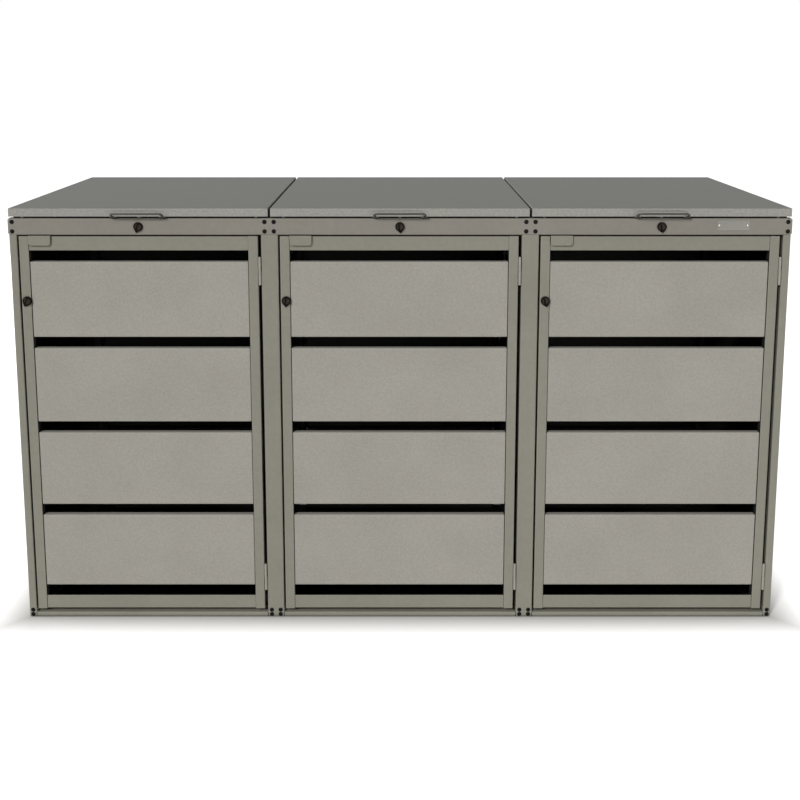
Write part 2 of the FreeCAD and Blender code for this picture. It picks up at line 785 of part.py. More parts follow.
def lid_shell(n):
    """The folded lid: top, skirts and the returns under the skirts."""
    x0, x1 = lid_edges(n)
    shell = pan(x0, x1, front, back, lid_low, lid_top, lid_sheet, lid_edge_radius, (2, -1))
    gap = lid_return + end_play
    strips = [block(x0 + lid_sheet, x0 + lid_return, front + gap, back - gap, lid_low, lid_low + lid_sheet),
              block(x1 - lid_return, x1 - lid_sheet, front + gap, back - gap, lid_low, lid_low + lid_sheet),
              block(x0 + gap, x1 - gap, front + lid_sheet, front + lid_return, lid_low, lid_low + lid_sheet),
              block(x0 + gap, x1 - gap, back - lid_return, back - lid_sheet, lid_low, lid_low + lid_sheet)]
    return fuse([shell] + strips)


def lid_rib(n, y):
    """A hat-shaped stiffener under the lid's top, from side to side."""
    x0, x1 = lid_edges(n)
    under = lid_top - lid_sheet
    half = rib_width / 2
    points = [(y - half - rib_flange, under), (y - half, under), (y - half, under - rib_height),
              (y + half, under - rib_height), (y + half, under), (y + half + rib_flange, under)]
    low = [(u, v - lid_sheet) if v == under else (u, v) for u, v in points]
    return folded(low, lid_sheet, frame_bend, 0, x0 + rib_end_gap, x1 - rib_end_gap)


def lid_keeper(n):
    """The loop under the lid that the lid lock's cam passes through."""
    x0 = bay_middles[n] + keeper_offset
    inner_y = (lid_cam_y - keeper_play, lid_cam_y + cam_thickness + keeper_play)
    window_low = header_middle - cam_width / 2 - keeper_play
    outside = block(x0, x0 + keeper_sheet, inner_y[0] - keeper_leg, inner_y[1] + keeper_leg,
                    window_low - keeper_leg, lid_top - lid_sheet)
    window = block(x0 - overrun, x0 + keeper_sheet + overrun, inner_y[0], inner_y[1],
                   window_low, lid_low + lid_sheet)
    return outside.cut(window)


def lid_lug(n):
    """The lug under the lid's side return that carries the stay's rivet."""
    side = stay_side(n)
    x_partition = bay_middles[n] + side * bay_pitch / 2
    plane = x_partition - side * stay_plane
    near = plane + side * (stay_thickness / 2 + side_play)
    x0, x1 = sorted((near, near + side * lug_sheet))
    y, z = stay_rivet
    lug = block(x0, x1, y - lug_width / 2, y + lug_width / 2, z - lug_width / 2, lid_low)
    lug = rounded(lug, lug_width / 2 - 0.5,
                  lambda edge: runs_along(edge, 0) and edge.Vertexes[0].Point.z < z)
    return lug.cut(rod(x0 - overrun, y, z, stay_rivet_d / 2 + running_fit, lug_sheet + 2 * overrun, vec(1, 0, 0)))


def lid(n):
    """A lid's shell with its stiffeners, keeper loop and stay lug."""
    third = body_depth / 3
    return group([lid_shell(n), lid_rib(n, front + third), lid_rib(n, back - third),
                  lid_keeper(n), lid_lug(n)])


def bow(points, corner, radius):
    """A round bar along straight runs joined by arcs."""
    runs = [vec(*point) for point in points]
    edges, at = [], runs[0]
    for i in range(1, len(runs) - 1):
        way_in = (runs[i] - runs[i - 1]).normalize()
        way_out = (runs[i + 1] - runs[i]).normalize()
        half_turn = way_in.getAngle(way_out) / 2
        back_off = corner * math.tan(half_turn)
        start, end = runs[i] - way_in * back_off, runs[i] + way_out * back_off
        bisector = (way_out - way_in).normalize()
        centre = runs[i] + bisector * (corner / math.cos(half_turn))
        edges.append(Part.LineSegment(at, start).toShape())
        edges.append(Part.Arc(start, centre - bisector * corner, end).toShape())
        at = end
    edges.append(Part.LineSegment(at, runs[-1]).toShape())
    path = Part.Wire(edges)
    circle = Part.Circle(runs[0], (runs[1] - runs[0]), radius).toShape()
    return path.makePipeShell([Part.Wire([circle])], True, False)


def lid_handle(n):
    """A bow of round bar in front of the skirt, welded to two tabs under the skirt."""
    x = bay_middles[n]
    half = (handle_width - handle_bar_d) / 2
    foot = (front - handle_foot, lid_low - 2 * handle_tab)
    grip = (front - handle_reach, foot[1] + handle_rise)
    near = half - handle_splay
    path = [(x - near, *foot), (x - half, *grip), (x + half, *grip), (x + near, *foot)]
    bar = bow(path, handle_corner, handle_bar_d / 2)
    tabs = [block(place - handle_tab_width / 2, place + handle_tab_width / 2,
                  front - handle_foot, front + handle_tab_depth, lid_low - handle_tab, lid_low)
            for place in (x - near, x + near)]
    return fuse([bar] + tabs)


def lid_hinge_places(n):
    """The middles of the two hinges at the back of a lid."""
    x0, x1 = lid_edges(n)
    return (x0 + lid_hinge_inset, x1 - lid_hinge_inset)


def lid_hinge_leaf(x, moving):
    """A leaf of a lid hinge: the lid's leaf has the middle knuckle, the rail's leaf the outer two."""
    third = lid_leaf_width / 3
    outer = [(x - lid_leaf_width / 2 - overrun, x - third / 2),
             (x + third / 2, x + lid_leaf_width / 2 + overrun)]
    if moving:
        spans, others = [(x - third / 2 + half_gap / 2, x + third / 2 - half_gap / 2)], outer
        plate = block(x - lid_leaf_width / 2, x + lid_leaf_width / 2, back, back + hinge_leaf,
                      lid_low + leaf_edge_gap, lid_low + lid_leaf_up)
    else:
        spans = [(x - lid_leaf_width / 2, x - third / 2 - half_gap / 2),
                 (x + third / 2 + half_gap / 2, x + lid_leaf_width / 2)]
        others = [(x - third / 2, x + third / 2)]
        plate = block(x - lid_leaf_width / 2, x + lid_leaf_width / 2, back, back + hinge_leaf,
                      header_top - lid_leaf_down, header_top - leaf_edge_gap)
    pieces = [plate]
    for low, high in spans:
        pieces.append(rod(low, lid_hinge_y, lid_hinge_z, lid_barrel_d / 2, high - low, vec(1, 0, 0)))
        arm = (lid_hinge_z, lid_low + leaf_edge_gap)
        if not moving:
            arm = (header_top - leaf_edge_gap, lid_hinge_z)
        pieces.append(block(low, high, back, back + hinge_leaf, *arm))
    fit = running_fit if moving else 0.0
    cuts = [rod(x - lid_leaf_width, lid_hinge_y, lid_hinge_z, lid_pin_d / 2 + fit,
                2 * lid_leaf_width, vec(1, 0, 0))]
    cuts += [rod(low, lid_hinge_y, lid_hinge_z, lid_barrel_d / 2 + knuckle_relief, high - low, vec(1, 0, 0))
             for low, high in others]
    return fuse(pieces).cut(Part.makeCompound(cuts))


def lid_hinge_leaves(n):
    """The leaves on one lid."""
    return group([lid_hinge_leaf(x, True) for x in lid_hinge_places(n)])


def lid_hinge_pins():
    """The leaves on the rear rail with the pins through them."""
    parts = []
    for n in range(bays):
        for x in lid_hinge_places(n):
            parts.append(lid_hinge_leaf(x, False))
            parts.append(rod(x - lid_leaf_width / 2, lid_hinge_y, lid_hinge_z, lid_pin_d / 2,
                             lid_leaf_width, vec(1, 0, 0)))
    return group(parts)


# Locks

def placed(shape, x, y, z, lean):
    """A lock piece turned by its lean and put in place."""
    moved = turned(shape, vec(0, 0, 0), vec(0, -1, 0), lean)
    return moved.translated(vec(x, y, z))


def lock_housing(wall, tail):
    """A lock's cap, threaded barrel and nut. Its cap sits on y = 0 and the wall is behind it."""
    cap = rod(0, -cap_thickness, 0, cap_d / 2, cap_thickness, vec(0, 1, 0))
    cap = rounded(cap, 0.8, lambda edge: edge.Vertexes[0].Point.y < -cap_thickness + 0.1)
    barrel = rod(0, -0.5, 0, barrel_d / 2, tail + 0.5, vec(0, 1, 0))
    nut = hexagon(nut_across, wall, nut_thickness)
    proud = flap_gap + flap_thickness + flap_rivet_head
    rivet = rod(0, -cap_thickness - proud, flap_pivot_rise, flap_pin_d / 2, proud + flap_rivet_root,
                vec(0, 1, 0))
    head = rod(0, -cap_thickness - proud, flap_pivot_rise, flap_pin_d, flap_rivet_head - flap_gap,
               vec(0, 1, 0))
    bore = rod(0, -cap_thickness - overrun, 0, plug_d / 2 + running_fit,
               tail + cap_thickness + 2 * overrun, vec(0, 1, 0))
    return fuse([cap, barrel, nut, rivet, head]).cut(bore)


def lock_plug(tail):
    """The turning plug with its key slot, a cam that hangs down and the cam's screw."""
    start = -cap_thickness + plug_recess
    plug = rod(0, start, 0, plug_d / 2, tail + cam_play - start, vec(0, 1, 0))
    slot = block(-key_slot_width / 2, key_slot_width / 2, start - overrun, start + key_slot_depth,
                 -key_slot_length / 2, key_slot_length / 2)
    cam_y = tail + cam_play
    cam = block(-cam_width / 2, cam_width / 2, cam_y, cam_y + cam_thickness, -cam_length, 0)
    cam = rounded(cam, cam_width / 4, lambda edge: runs_along(edge, 1)
                  and edge.Vertexes[0].Point.z < -cam_length / 2)
    hub = rod(0, cam_y, 0, cam_width / 2, cam_thickness, vec(0, 1, 0))
    screw = rod(0, cam_y + cam_thickness, 0, cam_screw_d / 2, cam_screw_height, vec(0, 1, 0))
    return fuse([plug.cut(slot), cam, hub, screw])


def dust_flap():
    """A domed teardrop with a ridge, hung on the rivet above the keyhole."""
    radius = cap_d / 2
    reach = math.sqrt(flap_tail ** 2 - radius ** 2)
    touch_x, touch_z = radius * reach / flap_tail, -radius * radius / flap_tail
    tip = vec(0, 0, -flap_tail)
    left, right = vec(-touch_x, 0, touch_z), vec(touch_x, 0, touch_z)
    edges = [Part.LineSegment(tip, right).toShape(),
             Part.Arc(right, vec(0, 0, radius), left).toShape(),
             Part.LineSegment(left, tip).toShape()]
    deep = flap_thickness + flap_ridge_height
    prism = Part.Face(Part.Wire(edges)).extrude(vec(0, -deep, 0))
    dome = Part.makeSphere(flap_crown, vec(0, flap_crown - flap_thickness, 0))
    body = prism.common(dome)
    ridge = block(-flap_ridge_width / 2, flap_ridge_width / 2, -deep, -flap_thickness / 3,
                  -flap_tail * 2 / 3, flap_pivot_rise / 3)
    hole = rod(0, -deep - overrun, flap_pivot_rise, flap_pin_d / 2 + running_fit,
               deep + 2 * overrun, vec(0, 1, 0))
    seat = rod(0, -deep - overrun, flap_pivot_rise, flap_pin_d + flap_gap,
               deep + overrun - flap_thickness + 2 * flap_gap, vec(0, 1, 0))
    whole = fuse([body, ridge]).cut(hole).cut(seat)
    return whole.translated(vec(0, -cap_thickness - flap_gap, 0))


# Lid stays

def stay(n):
    """The slotted arm between lid and partition, with its rivet in the lid's lug."""
    side = stay_side(n)
    x_partition = bay_middles[n] + side * bay_pitch / 2
    middle = x_partition - side * stay_plane
    x0 = middle - stay_thickness / 2
    length = stay_open + stay_end
    y, z = stay_rivet
    half = stay_width / 2
    arm = fuse([block(x0, x0 + stay_thickness, y - half, y + half, z - length, z),
                rod(x0, y, z, half, stay_thickness, vec(1, 0, 0)),
                rod(x0, y, z - length, half, stay_thickness, vec(1, 0, 0))])
    slot_r = stay_pin_d / 2 + stay_slot_play
    slot = fuse([block(x0 - overrun, x0 + stay_thickness + overrun, y - slot_r, y + slot_r,
                       z - stay_open, z - stay_closed),
                 rod(x0 - overrun, y, z - stay_open, slot_r, stay_thickness + 2 * overrun, vec(1, 0, 0)),
                 rod(x0 - overrun, y, z - stay_closed, slot_r, stay_thickness + 2 * overrun, vec(1, 0, 0))])
    arm = arm.cut(slot)
    lug_far = middle + side * (stay_thickness / 2 + 2 * side_play + lug_sheet)
    inner = middle - side * (stay_thickness / 2)
    head_out = sorted((lug_far, lug_far + side * stay_head))
    head_in = sorted((inner, inner - side * stay_head))
    low, high = sorted((inner, lug_far))
    rivet = [rod(low, y, z, stay_rivet_d / 2, high - low, vec(1, 0, 0)),
             rod(head_out[0], y, z, stay_head_d / 2, stay_head, vec(1, 0, 0)),
             rod(head_in[0], y, z, stay_head_d / 2, stay_head, vec(1, 0, 0))]
    whole = fuse([arm] + rivet)
    to_pin = math.degrees(math.atan2(stay_pin[0] - y, z - stay_pin[1]))
    return turned(whole, vec(middle, y, z), vec(1, 0, 0), to_pin)


def stay_pins():
    """The shouldered pins on the partitions that the slotted arms slide on."""
    pins = []
    for wall in range(bays - 1):
        x = (bay_middles[wall] + bay_middles[wall + 1]) / 2
        served = [stay_side(n) for n in range(bays)
                  if abs(bay_middles[n] + stay_side(n) * bay_pitch / 2 - x) < 1.0]
        pieces = []
        for side in served:
            away = -side
            plane = stay_plane * away
            inner = plane - away * (stay_thickness / 2 + side_play)
            outer = plane + away * (stay_thickness / 2 + side_play)
            half = partition_sheet / 2 * away
            for a, b, r in ((half, inner, stay_head_d / 2), (inner, outer, stay_pin_d / 2),
                            (outer, outer + away * stay_head, stay_head_d / 2 + 1)):
                low, high = sorted((x + a, x + b))
                pieces.append(rod(low, stay_pin[0], stay_pin[1], r, high - low, vec(1, 0, 0)))
        low, high = (x - partition_sheet / 2, x + partition_sheet / 2)
        pieces.append(rod(low, stay_pin[0], stay_pin[1], stay_pin_d / 4, high - low, vec(1, 0, 0)))
        if len(served) < 2:
            away = served[0]
            a, b = sorted((x + away * partition_sheet / 2, x + away * (partition_sheet / 2 + stay_head)))
            pieces.append(rod(a, stay_pin[0], stay_pin[1], stay_head_d / 2, b - a, vec(1, 0, 0)))
        pins.append(fuse(pieces))
    return group(pins)


# Values that the pieces above share
side_hole_reach = post_depth / 2
half_turn = 180              # a lid's cam points up into the lid when it is unlocked
rivet_columns = [plate_middle - rivet_spacing / 2, plate_middle + rivet_spacing / 2]
anchor_x = outer_edge - anchor_side_inset
door_tail = stile_depth + nut_thickness + 0.5
lid_tail = header_flange + keeper_leg + keeper_play + 0.5
door_cam_y = face + door_tail + cam_play
lid_cam_y = front + lid_tail + cam_play
stay_rivet = (lid_hinge_y - stay_reach, lid_hinge_z - stay_drop)
stay_radius = math.hypot(stay_reach, stay_drop)
pin_fall = math.atan2(stay_drop, stay_reach) + math.radians(stay_angle)
stay_pin = (lid_hinge_y - stay_radius * math.cos(pin_fall), lid_hinge_z - stay_radius * math.sin(pin_fall))
stay_closed = 2 * stay_radius * math.sin(math.radians(stay_angle / 2))
stay_open = 2 * stay_radius * math.sin(math.radians((stay_angle + lid_opening) / 2))


def build():
    """Every sub-part by name."""
    parts = {"front_corner_posts": group([front_post(0), front_post(bays)])}
    parts["front_inner_post_left"] = front_post(1)
    parts["front_inner_post_right"] = front_post(2)
    parts["rear_posts"] = group([rear_post(n) for n in range(bays + 1)])
    parts["header"] = header()
    parts["top_rails"] = group([mirrored_y(cross_rail()), side_rail(-1), side_rail(1)])
    parts["front_sills"] = group([cross_sill(n, False) for n in range(bays)])
    parts["rear_and_side_sills"] = group([cross_sill(n, True) for n in range(bays)]
                                         + [side_sill(-1), side_sill(1)])
    parts["side_wall_left"] = side_wall(-1)
    parts["side_wall_right"] = side_wall(1)
    parts["rear_walls"] = group([rear_wall(n) for n in range(bays)])
    walls = [(low + high) / 2 for low, high in post_spans[1:-1]]
    pin_holes = Part.makeCompound([rod(x - overrun, *stay_pin, stay_pin_d / 4, 2 * overrun, vec(1, 0, 0)) for x in walls])
    parts["partitions"] = group([partition(x).cut(pin_holes) for x in walls])
    parts["frame_bolts"] = bolted(bolt(), 0.0)
    parts["frame_nuts"] = bolted(nut(), 2 * frame_sheet)
    parts["name_plate"] = name_plate()
    parts["plate_rivets"] = plate_rivets()
    parts["door_hinge_pins"] = door_hinge_pins()
    parts["lid_hinge_pins"] = lid_hinge_pins()
    parts["lid_buffers"] = lid_buffers()
    parts["stay_pins"] = stay_pins()
    lid_housings = []
    for n in range(bays):
        bay = n + 1
        x_lid = bay_middles[n]
        x_door = door_edges(n)[0] + door_lock_from_edge
        parts[f"lid_{bay}"] = lid(n)
        parts[f"lid_handle_{bay}"] = lid_handle(n)
        parts[f"lid_hinge_leaves_{bay}"] = lid_hinge_leaves(n)
        parts[f"lid_stay_{bay}"] = stay(n)
        parts[f"door_frame_{bay}"] = door_frame(n)
        parts[f"door_panels_{bay}"] = door_panels(n)
        parts[f"door_pull_tab_{bay}"] = door_pull_tab(n)
        parts[f"door_hinge_leaves_{bay}"] = door_hinge_leaves(n)
        lean = door_flap_leans[n]
        parts[f"door_lock_housing_{bay}"] = placed(lock_housing(stile_depth, door_tail), x_door, face,
                                                   door_lock_height, lean)
        parts[f"door_lock_cam_{bay}"] = placed(lock_plug(door_tail), x_door, face, door_lock_height, 0)
        parts[f"door_lock_flap_{bay}"] = placed(dust_flap(), x_door, face, door_lock_height, lean)
        lean = lid_flap_leans[n]
        lid_housings.append(placed(lock_housing(frame_sheet, lid_tail), x_lid, front, header_middle, lean))
        parts[f"lid_lock_cam_{bay}"] = placed(lock_plug(lid_tail), x_lid, front, header_middle, half_turn)
        parts[f"lid_lock_flap_{bay}"] = placed(dust_flap(), x_lid, front, header_middle, lean)
    parts["lid_lock_housings"] = group(lid_housings)
    return parts


os.makedirs("parts", exist_ok=True)
for name, shape in build().items():
    shape.exportStep(os.path.join("parts", name + ".step"))
    bounds = shape.BoundBox
    print(f"{name}: {len(shape.Solids)} solids, valid {shape.isValid()}, volume {shape.Volume / 1000:.1f} cm3,"
          f" x {bounds.XMin:.1f} to {bounds.XMax:.1f}, y {bounds.YMin:.1f} to {bounds.YMax:.1f},"
          f" z {bounds.ZMin:.1f} to {bounds.ZMax:.1f}")
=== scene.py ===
import enum
import logging
import math
from dataclasses import dataclass, field, replace

import bpy
import numpy as np
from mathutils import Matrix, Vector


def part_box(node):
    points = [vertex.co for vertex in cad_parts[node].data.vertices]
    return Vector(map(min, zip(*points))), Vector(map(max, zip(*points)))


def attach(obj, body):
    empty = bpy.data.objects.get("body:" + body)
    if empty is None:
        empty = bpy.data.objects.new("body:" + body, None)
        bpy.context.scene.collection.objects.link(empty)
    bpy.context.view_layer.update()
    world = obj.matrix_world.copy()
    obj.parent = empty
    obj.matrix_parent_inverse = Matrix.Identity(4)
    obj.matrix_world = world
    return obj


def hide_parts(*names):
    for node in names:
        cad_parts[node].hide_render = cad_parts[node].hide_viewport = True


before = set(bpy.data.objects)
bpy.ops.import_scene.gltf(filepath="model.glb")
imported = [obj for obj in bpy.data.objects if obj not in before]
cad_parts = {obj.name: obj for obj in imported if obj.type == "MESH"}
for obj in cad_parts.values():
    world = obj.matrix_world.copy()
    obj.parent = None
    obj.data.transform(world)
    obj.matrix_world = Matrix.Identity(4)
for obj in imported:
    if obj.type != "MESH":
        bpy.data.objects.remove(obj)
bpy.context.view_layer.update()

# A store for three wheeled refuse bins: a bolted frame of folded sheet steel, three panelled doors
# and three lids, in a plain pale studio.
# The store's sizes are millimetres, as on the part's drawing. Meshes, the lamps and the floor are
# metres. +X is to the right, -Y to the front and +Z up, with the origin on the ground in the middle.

MM = 0.001
MERGE_STEPS = 1e7  # points that agree to one of these parts of a metre are one point
PAIR = np.array([-0.5, 0.5])  # two places about their middle, as shares of their spacing
PLASTIC_IOR = 1.5  # of polyester coats, lacquers, nylon and rubber
WHITE = (1.0, 1.0, 1.0, 1.0)
SHARE, FIRST, SECOND = 0, 6, 7  # the inputs of a Mix node that mixes colours
Tree, Node, Material = bpy.types.NodeTree, bpy.types.Node, bpy.types.Material
log = logging.getLogger("bin_store")


# Colours and nodes

def linear(code: str) -> tuple[float, ...]:
    """Turns an sRGB hex colour into linear light, by the curve of the sRGB standard.

    Args:
        code: six hex digits, such as "9b9890".

    Returns:
        Red, green, blue and an alpha of 1.
    """
    srgb = np.array([int(code[k:k + 2], 16) for k in (0, 2, 4)]) / 255
    light = np.where(srgb <= 0.04045, srgb / 12.92, ((srgb + 0.055) / 1.055) ** 2.4)
    return (*light.tolist(), 1.0)


def add(tree: Tree, kind: str, settings: dict | None = None) -> Node:
    """Adds a node with its settings and links.

    Args:
        tree: the tree that gets the node.
        kind: the node's class without "ShaderNode".
        settings: values by the name of a property, or by the name or number of an input. An input
            whose value is an output, or a node for its first output in use, is linked to it.

    Returns:
        The new node.
    """
    node = tree.nodes.new("ShaderNode" + kind)
    for name, value in (settings or {}).items():
        if isinstance(value, Node):
            value = next(output for output in value.outputs if output.enabled)
        if isinstance(value, bpy.types.NodeSocket):
            tree.links.new(value, node.inputs[name])
        elif isinstance(name, str) and name in node.bl_rna.properties:
            setattr(node, name, value)
        else:
            node.inputs[name].default_value = value
    return node


def per_metre(size_mm: float) -> float:
    """Texture scale whose features are about size_mm wide."""
    return 1 / (size_mm * MM)


class Slot(enum.Enum):
    """The record's material slots. Some are listed beside the scene's own pieces, which don't take
    them.
    """

    BAR = "steel_bar"
    BOLT = "black_bolt"
    NYLON = "black_plastic"
    RUBBER = "grey_rubber"


# Finishes

@dataclass(frozen=True)
class Finish:
    """A finish under its common name. Each kind of finish adds its own shader."""

    name: str

    def shader(self, tree: Tree, place: Node) -> Node:
        """Adds the nodes of the finish.

        Args:
            tree: the material's tree.
            place: its texture coordinates.

        Returns:
            The shader's node.
        """
        raise NotImplementedError(f"{self.name} has no shader")

    def material(self) -> Material:
        """Makes the finish a material.

        Returns:
            A new material whose output takes the shader.
        """
        material = bpy.data.materials.new(self.name)
        material.use_nodes = True
        tree = material.node_tree
        tree.nodes.clear()
        add(tree, "OutputMaterial", {"Surface": self.shader(tree, add(tree, "TexCoord"))})
        return material


@dataclass(frozen=True)
class PowderCoat(Finish):
    """Polyester powder coat, sprayed and baked on folded zinc-coated steel sheet.

    It gives a satin, even stone grey with a faint pebbled skin and a fine mottle where the zinc's
    spangle shows through. Light and shade are painted into it as well: a painted highlight makes
    the edges along the folds a little lighter, painted shade darkens the narrow joints, and painted
    light, as the floor's bounce would give, leaves it a little paler near the ground. A sheet's
    inner side may take a dark painted shade, and a side that faces up may take painted shade in a
    darker, more even tone. The inner side is what faces the store's upright middle line or, with
    a window's middle given, the sides of that window.
    """

    colour: str
    fleck: str
    # edge: the colour of the painted highlight along the folds
    edge: str
    mottle: float
    fleck_mm: float = 9.0
    cloud_mm: float = 160.0
    wave_mm: float = 230.0
    wave_height_mm: float = 0.9
    peel_mm: float = 2.6
    peel_height_mm: float = 0.2
    roughness: float = 0.66
    specular: float = 0.14
    fold_mm: float = 2.6
    # how far the painted shade in the joints looks for open sky
    joint_shade_mm: float = 12.0
    # how much paler the painted bounce light leaves the foot, up to the height below
    bounce_lift: float = 0.047
    bounce_top_mm: float = 1100.0
    # inner: the colour of the painted shade on the inner side
    inner: str | None = None
    middle_play_mm: float = 1.0
    window_middle_mm: float | None = None
    window_side_mm: float = 200.0
    # the colour of the painted shade, darker and more even, on the side that faces up
    top_shade: str | None = None

    def inside_shade_mask(self, tree: Tree, place: Node) -> Node:
        """Finds the inner side by (p - m) . n, with p a point, n its normal and m the middle.

        It is what doesn't face away from the store's middle line, give or take middle_play_mm, or
        what faces the window's middle from more than window_side_mm away; there the coat takes
        its painted shade.

        Args:
            tree: the material's tree.
            place: its texture coordinates.

        Returns:
            A node whose value is 1 on the inner side and 0 elsewhere.
        """
        if self.window_middle_mm is None:
            ways, middle, limit = (1.0, 1.0, 0.0), 0.0, self.middle_play_mm * MM
        else:
            ways, middle, limit = (1.0, 0.0, 0.0), self.window_middle_mm * MM, -self.window_side_mm * MM
        beside = add(tree, "VectorMath", {
            "operation": "MULTIPLY_ADD", 0: place.outputs["Object"], 1: ways, 2: (-middle, 0.0, 0.0)})
        outwards = add(tree, "VectorMath", {
            "operation": "DOT_PRODUCT", 0: beside, 1: place.outputs["Normal"]})
        return add(tree, "Math", {"operation": "LESS_THAN", 0: outwards, 1: limit})

    def shader(self, tree: Tree, place: Node) -> Node:
        """Adds the mottled coat, then its painted highlight, light and shade, then its skin.

        Args:
            tree: the material's tree.
            place: its texture coordinates.

        Returns:
            The shader's node.
        """
        where = place.outputs["Object"]
        spangle = add(tree, "TexNoise", {
            "Scale": per_metre(self.fleck_mm), "Detail": 4.0, "Roughness": 0.62, "Vector": where})
        spread = add(tree, "MapRange", {
            "From Min": 0.32, "From Max": 0.68, "To Max": self.mottle, "Value": spangle})
        coat = add(tree, "Mix", {
            "data_type": "RGBA", SHARE: spread, FIRST: linear(self.colour), SECOND: linear(self.fleck)})
        cloud = add(tree, "TexNoise", {
            "Scale": per_metre(self.cloud_mm), "Detail": 2.0, "Vector": where})
        shade = add(tree, "MapRange", {
            "From Min": 0.3, "From Max": 0.7, "To Min": 0.965, "To Max": 1.035, "Value": cloud})
        # painted light: a little paler towards the foot, as the floor's bounce would make it
        height = add(tree, "SeparateXYZ", {0: where})
        bounce_light = add(tree, "MapRange", {
            "From Max": self.bounce_top_mm * MM, "To Min": 1.0 + self.bounce_lift / 4,
            "To Max": 1.0 - self.bounce_lift * 3 / 4, "Value": height.outputs["Z"]})
        level = add(tree, "Math", {"operation": "MULTIPLY", 0: shade, 1: bounce_light})
        clouded = add(tree, "VectorMath", {"operation": "SCALE", 0: coat, "Scale": level})
        # painted highlight on the folds: where the rounded normal leaves the true one
        rounded = add(tree, "Bevel", {"samples": 4, "Radius": self.fold_mm * MM})
        shape = add(tree, "NewGeometry")
        same = add(tree, "VectorMath", {
            "operation": "DOT_PRODUCT", 0: rounded, 1: shape.outputs["Normal"]})
        fold_highlight = add(tree, "MapRange", {
            "From Min": 0.99, "From Max": 0.85, "To Max": 0.9, "Value": same})
        layers = [(fold_highlight, self.edge)]
        # painted shade on the inner side
        if self.inner:
            layers.append((self.inside_shade_mask(tree, place), self.inner))
        # painted shade on the side that faces up, in a darker, more even tone
        if self.top_shade:
            upright = add(tree, "SeparateXYZ", {0: place.outputs["Normal"]})
            top_shade_share = add(tree, "MapRange", {
                "From Min": 0.55, "From Max": 0.95, "Value": upright.outputs["Z"]})
            layers.append((top_shade_share, self.top_shade))
        side = clouded
        for mask, colour in layers:
            side = add(tree, "Mix", {
                "data_type": "RGBA", SHARE: mask, FIRST: side, SECOND: linear(colour)})
        # painted shade in joints narrower than their depth
        sky = add(tree, "AmbientOcclusion", {"samples": 5, "Distance": self.joint_shade_mm * MM})
        joint_shade = add(tree, "MapRange", {
            "From Min": 0.22, "From Max": 0.68, "To Min": 0.02, "Value": sky.outputs["AO"]})
        shown = add(tree, "VectorMath", {"operation": "SCALE", 0: side, "Scale": joint_shade})
        # the sheet's long, low waves, and on them the coat's pebbled skin
        normal = rounded
        for size_mm, height_mm, strength in ((self.wave_mm, self.wave_height_mm, 0.5),
                                             (self.peel_mm, self.peel_height_mm, 0.12)):
            relief = add(tree, "TexNoise", {
                "Scale": per_metre(size_mm), "Detail": 1.0, "Vector": where})
            normal = add(tree, "Bump", {
                "Strength": strength, "Distance": height_mm * MM, "Height": relief, "Normal": normal})
        rough = add(tree, "MapRange", {
            "To Min": self.roughness - 0.05, "To Max": self.roughness + 0.07, "Value": spangle})
        return add(tree, "BsdfPrincipled", {
            "IOR": PLASTIC_IOR, "Specular IOR Level": self.specular, "Base Color": shown,
            "Roughness": rough, "Normal": normal})


@dataclass(frozen=True)
class DullSteel(Finish):
    """Mild steel bar, cold drawn and lacquered dark.

    It gives a soft dark grey-green with faint draw lines and a broad, low sheen.
    """

    colour: str
    worn: str
    roughness: float = 0.42
    line_mm: float = 1.4
    line_stretch: float = 25.0
    line_depth_mm: float = 0.1

    def shader(self, tree: Tree, place: Node) -> Node:
        """Adds the draw lines along X, much longer than wide, and the lacquer over them.

        Args:
            tree: the material's tree.
            place: its texture coordinates.

        Returns:
            The shader's node.
        """
        long_ways = add(tree, "Mapping", {
            "Scale": (1 / self.line_stretch, 1.0, 1.0), "Vector": place.outputs["Object"]})
        lines = add(tree, "TexNoise", {
            "Scale": per_metre(self.line_mm), "Detail": 3.0, "Vector": long_ways})
        share = add(tree, "MapRange", {
            "From Min": 0.35, "From Max": 0.75, "To Max": 0.7, "Value": lines})
        colour = add(tree, "Mix", {
            "data_type": "RGBA", SHARE: share, FIRST: linear(self.colour), SECOND: linear(self.worn)})
        bump = add(tree, "Bump", {
            "Strength": 0.2, "Distance": self.line_depth_mm * MM, "Height": lines})
        return add(tree, "BsdfPrincipled", {
            "IOR": PLASTIC_IOR, "Roughness": self.roughness, "Base Color": colour,
            "Normal": bump})


@dataclass(frozen=True)
class ZincPlate(Finish):
    """Electroplated zinc with a clear chromate, on turned and stamped steel.

    It gives a bright, slightly cool metal with small cloudy differences of sheen.
    """

    colour: str
    dull: str
    roughness: float = 0.36
    cloud_mm: float = 6.0
    grain_depth_mm: float = 0.1

    def shader(self, tree: Tree, place: Node) -> Node:
        """Adds the clouds of the plating, which change its colour, sheen and height.

        Args:
            tree: the material's tree.
            place: its texture coordinates.

        Returns:
            The shader's node.
        """
        cloud = add(tree, "TexNoise", {
            "Scale": per_metre(self.cloud_mm), "Detail": 5.0, "Vector": place.outputs["Object"]})
        colour = add(tree, "Mix", {
            "data_type": "RGBA", SHARE: cloud, FIRST: linear(self.colour), SECOND: linear(self.dull)})
        rough = add(tree, "MapRange", {
            "To Min": self.roughness - 0.08, "To Max": self.roughness + 0.14, "Value": cloud})
        bump = add(tree, "Bump", {
            "Strength": 0.15, "Distance": self.grain_depth_mm * MM, "Height": cloud})
        return add(tree, "BsdfPrincipled", {
            "Metallic": 1.0, "Base Color": colour, "Roughness": rough, "Normal": bump})


